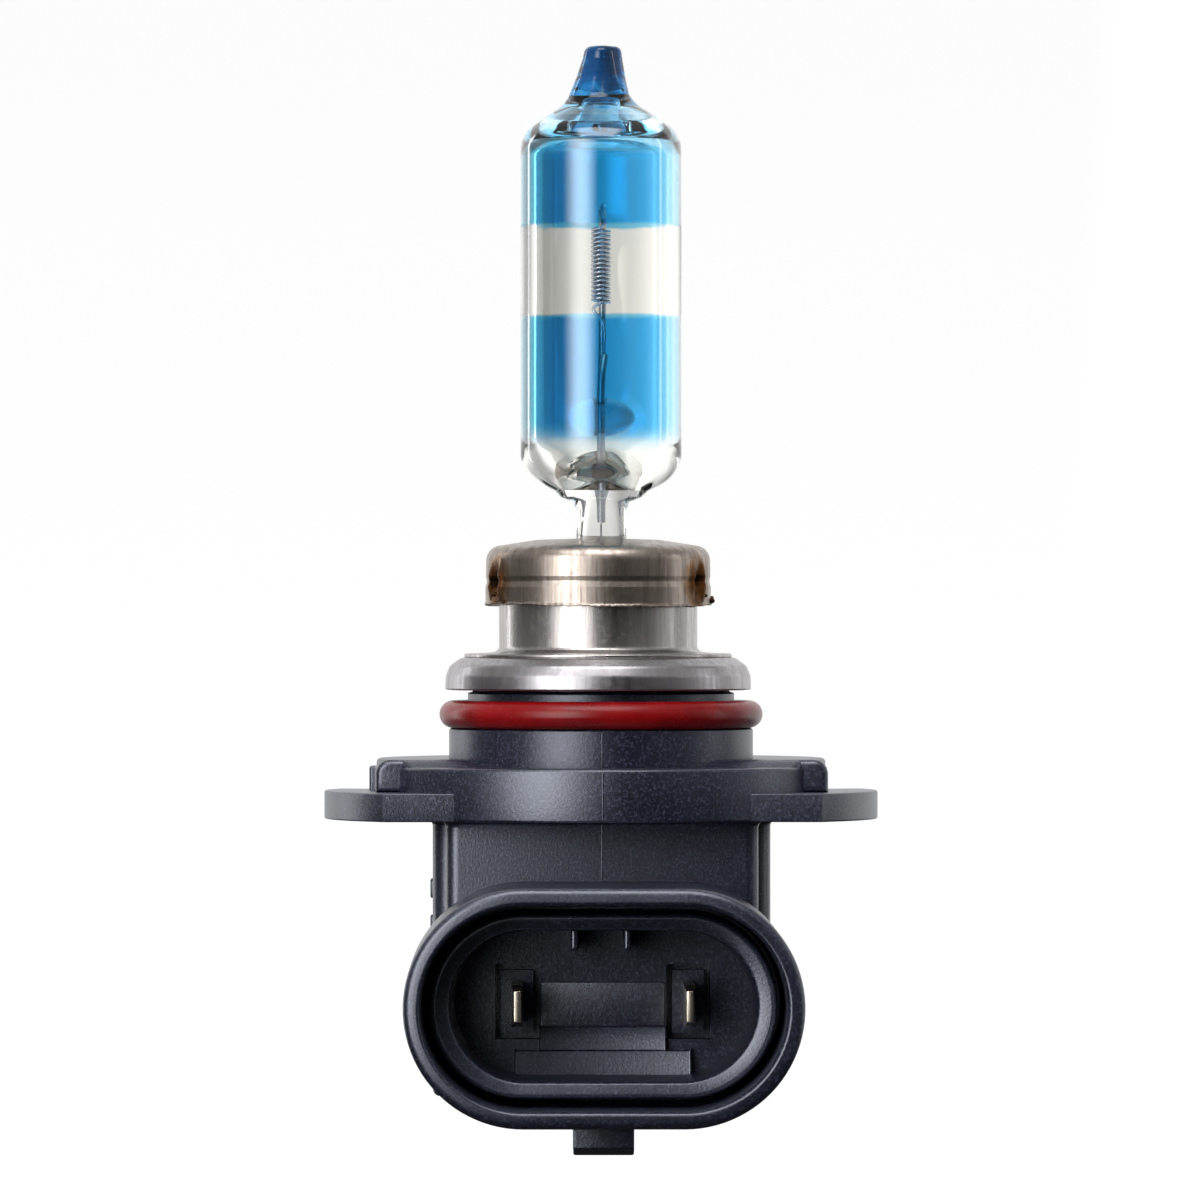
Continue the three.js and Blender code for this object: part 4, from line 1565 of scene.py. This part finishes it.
@dataclass
class Seals:
    """The O-ring and the two grommets."""

    cord: float = 0.96

    def build(self) -> list[Piece]:
        """Builds and dresses the seals.

        Returns:
            The new piece.
        """
        box = Extent.of("o_ring")
        section = self.cord * unit_arc(around(40)) + [box.radius - self.cord, box.middle[2]]
        red = Silicone("red_silicone", srgb(142, 10, 14), srgb(112, 4, 8)).build()
        grey = Silicone("grey_silicone", srgb(112, 116, 122), srgb(92, 96, 102), 0.5).build()
        for node in ("lead_grommet_front", "lead_grommet_rear"):
            dress(node, grey)
        return [make_piece("sealing_ring", turned(section), red, "o_ring", 80)]


@dataclass
class Terminals:
    """The two tinned blades with their risers."""

    width: float = 2.8
    riser: float = 2.6
    taper: float = 1.2
    narrowing: float = 0.42
    chamfer: float = 0.35

    def blade(self, node: str) -> Surface:
        """One blade and its riser, cut from strip, with a tip that tapers in both directions.

        Args:
            node: the CAD node it follows.

        Returns:
            The blade's surface.
        """
        box = Extent.of(node)
        tip, back, low, top = box.low[1], box.high[1], box.bottom, box.top
        high, ahead = low + self.width, tip + self.taper
        outline = rounded([
            (tip, low + self.chamfer, 0.1), (ahead, low, 0.3), (back, low, 0.2), (back, top, 0.2),
            (back - self.riser, top, 0.2), (back - self.riser, high, 0.3), (ahead, high, 0.3),
            (tip, high - self.chamfer, 0.1),
        ], True, 5)
        middle = box.middle[0]
        made = prism(outline, middle - box.radius, middle + box.radius, Along.X, 0.06, 0.06)
        t = np.clip((ahead - made.points[:, 1]) / self.taper, 0, 1)
        made.points[:, 0] = middle + (made.points[:, 0] - middle) * (1 - self.narrowing * t)
        return made

    def build(self) -> list[Piece]:
        """Builds and dresses the terminals.

        Returns:
            The new pieces.
        """
        tin = NickelSteel("tin_plate", srgb(222, 214, 198), srgb(168, 158, 142), 0.22, 0.2).build()
        nodes = ("terminal_left", "terminal_right")
        return [make_piece(node + "_blade", self.blade(node), tin, node) for node in nodes]


# ---------------------------------------------------------------- studio


@dataclass(frozen=True)
class SoftBox:
    """A soft panel of light that faces the lamp, placed by its bearing from the camera's side."""

    name: str
    bearing: float
    elevation: float
    distance: float
    width: float
    height: float
    radiance: float
    soft: float
    soft_upright: float = 0.12

    def build(self) -> None:
        """Places the light. A bearing of 0 is in front, and it grows towards +X; both angles are degrees.

        A panel sends out pi times its radiance for each square metre, so its watts follow from its size. Its
        light fades towards its edges by its two softnesses.
        """
        bearing, rise = math.radians(self.bearing), math.radians(self.elevation)
        level = math.cos(rise)
        place = Vector((math.sin(bearing) * level, -math.cos(bearing) * level, math.sin(rise)))
        light = bpy.data.lights.new(self.name, "AREA")
        light.shape = "RECTANGLE"
        light.size, light.size_y = self.width * MM, self.height * MM
        light.energy = math.pi * self.radiance * light.size * light.size_y
        light.use_nodes = True
        nodes = Nodes(light.node_tree)
        fades = []
        parts = nodes.split(nodes.add("ShaderNodeNewGeometry").outputs["Parametric"])
        for part, soft in zip(parts, (self.soft, self.soft_upright)):
            off_centre = nodes.math("ABSOLUTE", nodes.math("SUBTRACT", part, 0.5))
            fades.append(nodes.between(off_centre, 0.5, 0.5 - soft, smooth=True))
        nodes.put(nodes.math("MULTIPLY", *fades), light.node_tree.nodes["Emission"].inputs["Strength"])
        lamp = bpy.data.objects.new(self.name, light)
        lamp.location = place * self.distance * MM + Vector((0, 0, 0.012))
        lamp.rotation_euler = place.to_track_quat("Z", "Y").to_euler()
        lamp.visible_camera = False
        bpy.context.scene.collection.objects.link(lamp)


@dataclass
class Studio:
    """A white sweep, soft panels of light, dark surroundings and a long-lens camera level with the lamp."""

    distance: float = 650.0
    lens: float = 280.8
    height: float = 13.2
    side: float = -5.3
    aim_side: float = -0.07
    floor_drop: float = 8.0
    reach: float = 2500.0
    bend: float = 300.0
    back: float = 500.0
    boxes: tuple[SoftBox, ...] = (
        SoftBox("key_left", -30.5, 10.0, 420.0, 430.0, 440.0, 5.6, 0.48),
        SoftBox("edge_left", -127.0, 6.0, 420.0, 50.0, 420.0, 3.6, 0.3),
        SoftBox("edge_right", 94.0, 6.0, 420.0, 50.0, 420.0, 2.1, 0.3),
        SoftBox("fill_right", 100.0, 8.0, 430.0, 640.0, 420.0, 0.3, 0.2),
        SoftBox("top", -8.0, 64.0, 420.0, 400.0, 300.0, 4.3, 0.2),
    )
    # backdrop: the paper's painted light and shade seen through glass, as (place, light) stops of its ramp.
    backdrop: tuple[tuple[float, float], ...] = (
        (0.0, 0.95), (1.0, 1.0), (0.18, 0.75), (0.3, 0.2), (0.425, 0.15),
        (0.462, 0.32), (0.5, 0.5), (0.525, 0.6), (0.555, 0.86),
    )

    def sweep(self) -> None:
        """The floor and the backdrop as one curved sheet: flat, then a quarter round, then upright."""
        floor = CAD_BOUNDS[0][2] / MM - self.floor_drop
        arc = np.linspace(0, QUARTER, 24)
        curve = np.stack([self.back + self.bend * np.sin(arc), floor + self.bend * (1 - np.cos(arc))], axis=1)
        line = np.concatenate([[[-self.reach, floor]], curve, [[self.back + self.bend, self.reach]]])
        x = np.repeat(np.array([[-self.reach, self.reach]]), len(line), 0)
        points = np.stack([x, np.repeat(line[:, :1], 2, 1), np.repeat(line[:, 1:], 2, 1)], axis=2)
        faces = band_faces(len(line), 2, False, False).tolist()
        mesh = bpy.data.meshes.new("sweep")
        mesh.from_pydata((points.reshape(-1, 3) * MM).tolist(), [], faces)
        mesh.polygons.foreach_set("use_smooth", np.ones(len(mesh.polygons), dtype=bool))
        sheet = bpy.data.objects.new("sweep", mesh)
        bpy.context.scene.collection.objects.link(sheet)
        sheet.visible_diffuse = sheet.visible_glossy = False
        mesh.materials.append(self.paper())

    def paper(self) -> Material:
        """The sweep's paper: white to the eye; through glass it darkens to the left of the lamp's back.

        The darkening is painted shade, seen only through glass: the light is a ramp over the slope X / Y of
        the line from the lamp's axis to the paper.

        Returns:
            The material.
        """
        finish = Finish("sweep_paper")
        nodes = finish.nodes
        x, y, _ = nodes.split(finish.place)
        slope = nodes.math("DIVIDE", x, nodes.math("MAXIMUM", y, 0.05))
        # The ramp paints shade on the paper, seen through the glass as darker to the left of the lamp's back.
        ramp = nodes.add("ShaderNodeValToRGB")
        stops = ramp.color_ramp.elements
        for count, (place, light) in enumerate(self.backdrop):
            point = stops[count] if count < 2 else stops.new(place)
            point.position, point.color = place, (light, light, light, 1)
        nodes.put(nodes.between(slope, -1.5, 1.5), ramp.inputs[0])
        seen = nodes.add("ShaderNodeLightPath").outputs["Is Camera Ray"]
        level = nodes.math("MULTIPLY", ramp.outputs[0], 1.25)
        finish.feed(nodes.math("MAXIMUM", level, nodes.math("MULTIPLY", seen, 0.86)), "Emission Strength")
        finish.plain(Base_Color=(0.3, 0.3, 0.3, 1), Roughness=0.9, Emission_Color=(1, 1, 1, 1))
        finish.plain(Specular_IOR_Level=0.0)
        return finish.material

    def air(self) -> None:
        """The surroundings: white to the eye, and to all else a soft fall from a pale top to a dark foot.

        It is bright behind the lamp, above the floor, and dark straight in front of it.
        """
        world = bpy.data.worlds.new("studio_air")
        world.use_nodes = True
        nodes = Nodes(world.node_tree)
        background = world.node_tree.nodes["Background"]
        _, y, z = nodes.split(nodes.add("ShaderNodeTexCoord").outputs["Generated"])
        rise = nodes.between(z, -0.4, 0.9, 0.035, 0.42, smooth=True)
        behind = nodes.between(y, 0.42, 0.62, smooth=True)
        above_floor = nodes.between(z, -0.35, -0.1, smooth=True)
        glow = nodes.math("MAXIMUM", rise, nodes.math("MULTIPLY", behind, above_floor))
        glow = nodes.math("MULTIPLY", glow, nodes.between(y, -0.7, -0.95, 1.0, 0.05, smooth=True))
        seen = nodes.add("ShaderNodeLightPath").outputs["Is Camera Ray"]
        nodes.put(nodes.math("MAXIMUM", glow, seen), background.inputs["Strength"])
        background.inputs["Color"].default_value = (1, 1, 1, 1)
        bpy.context.scene.world = world

    def build(self) -> None:
        """Sets the sweep, the lights, the world and the camera."""
        self.sweep()
        self.air()
        for box in self.boxes:
            box.build()
        scene = bpy.context.scene
        scene.view_settings.view_transform = "Standard"
        camera = bpy.data.cameras.new("camera")
        camera.lens, camera.sensor_width = self.lens, 36
        camera.clip_start, camera.clip_end = 0.01, 20
        holder = bpy.data.objects.new("camera", camera)
        place = Vector((self.side, -self.distance, self.height))
        aim = Vector((self.aim_side, 0.0, self.height))
        holder.location = place * MM
        holder.rotation_euler = (aim - place).to_track_quat("-Z", "Y").to_euler()
        scene.collection.objects.link(holder)
        scene.camera = holder


def main() -> None:
    """Builds every sub-assembly in order and reports the pieces."""
    logging.basicConfig(level=logging.INFO, format="%(name)s: %(message)s")
    Studio().build()
    count = 0
    for assembly in (MouldedBase(), Terminals(), Seals(), MetalHolder(), GlassCapsule()):
        pieces = assembly.build()
        LOG.info("%s: %d pieces", type(assembly).__name__, len(pieces))
        count += len(pieces)
    LOG.info("%d pieces in all", count)


if __name__ == "__main__":
    main()
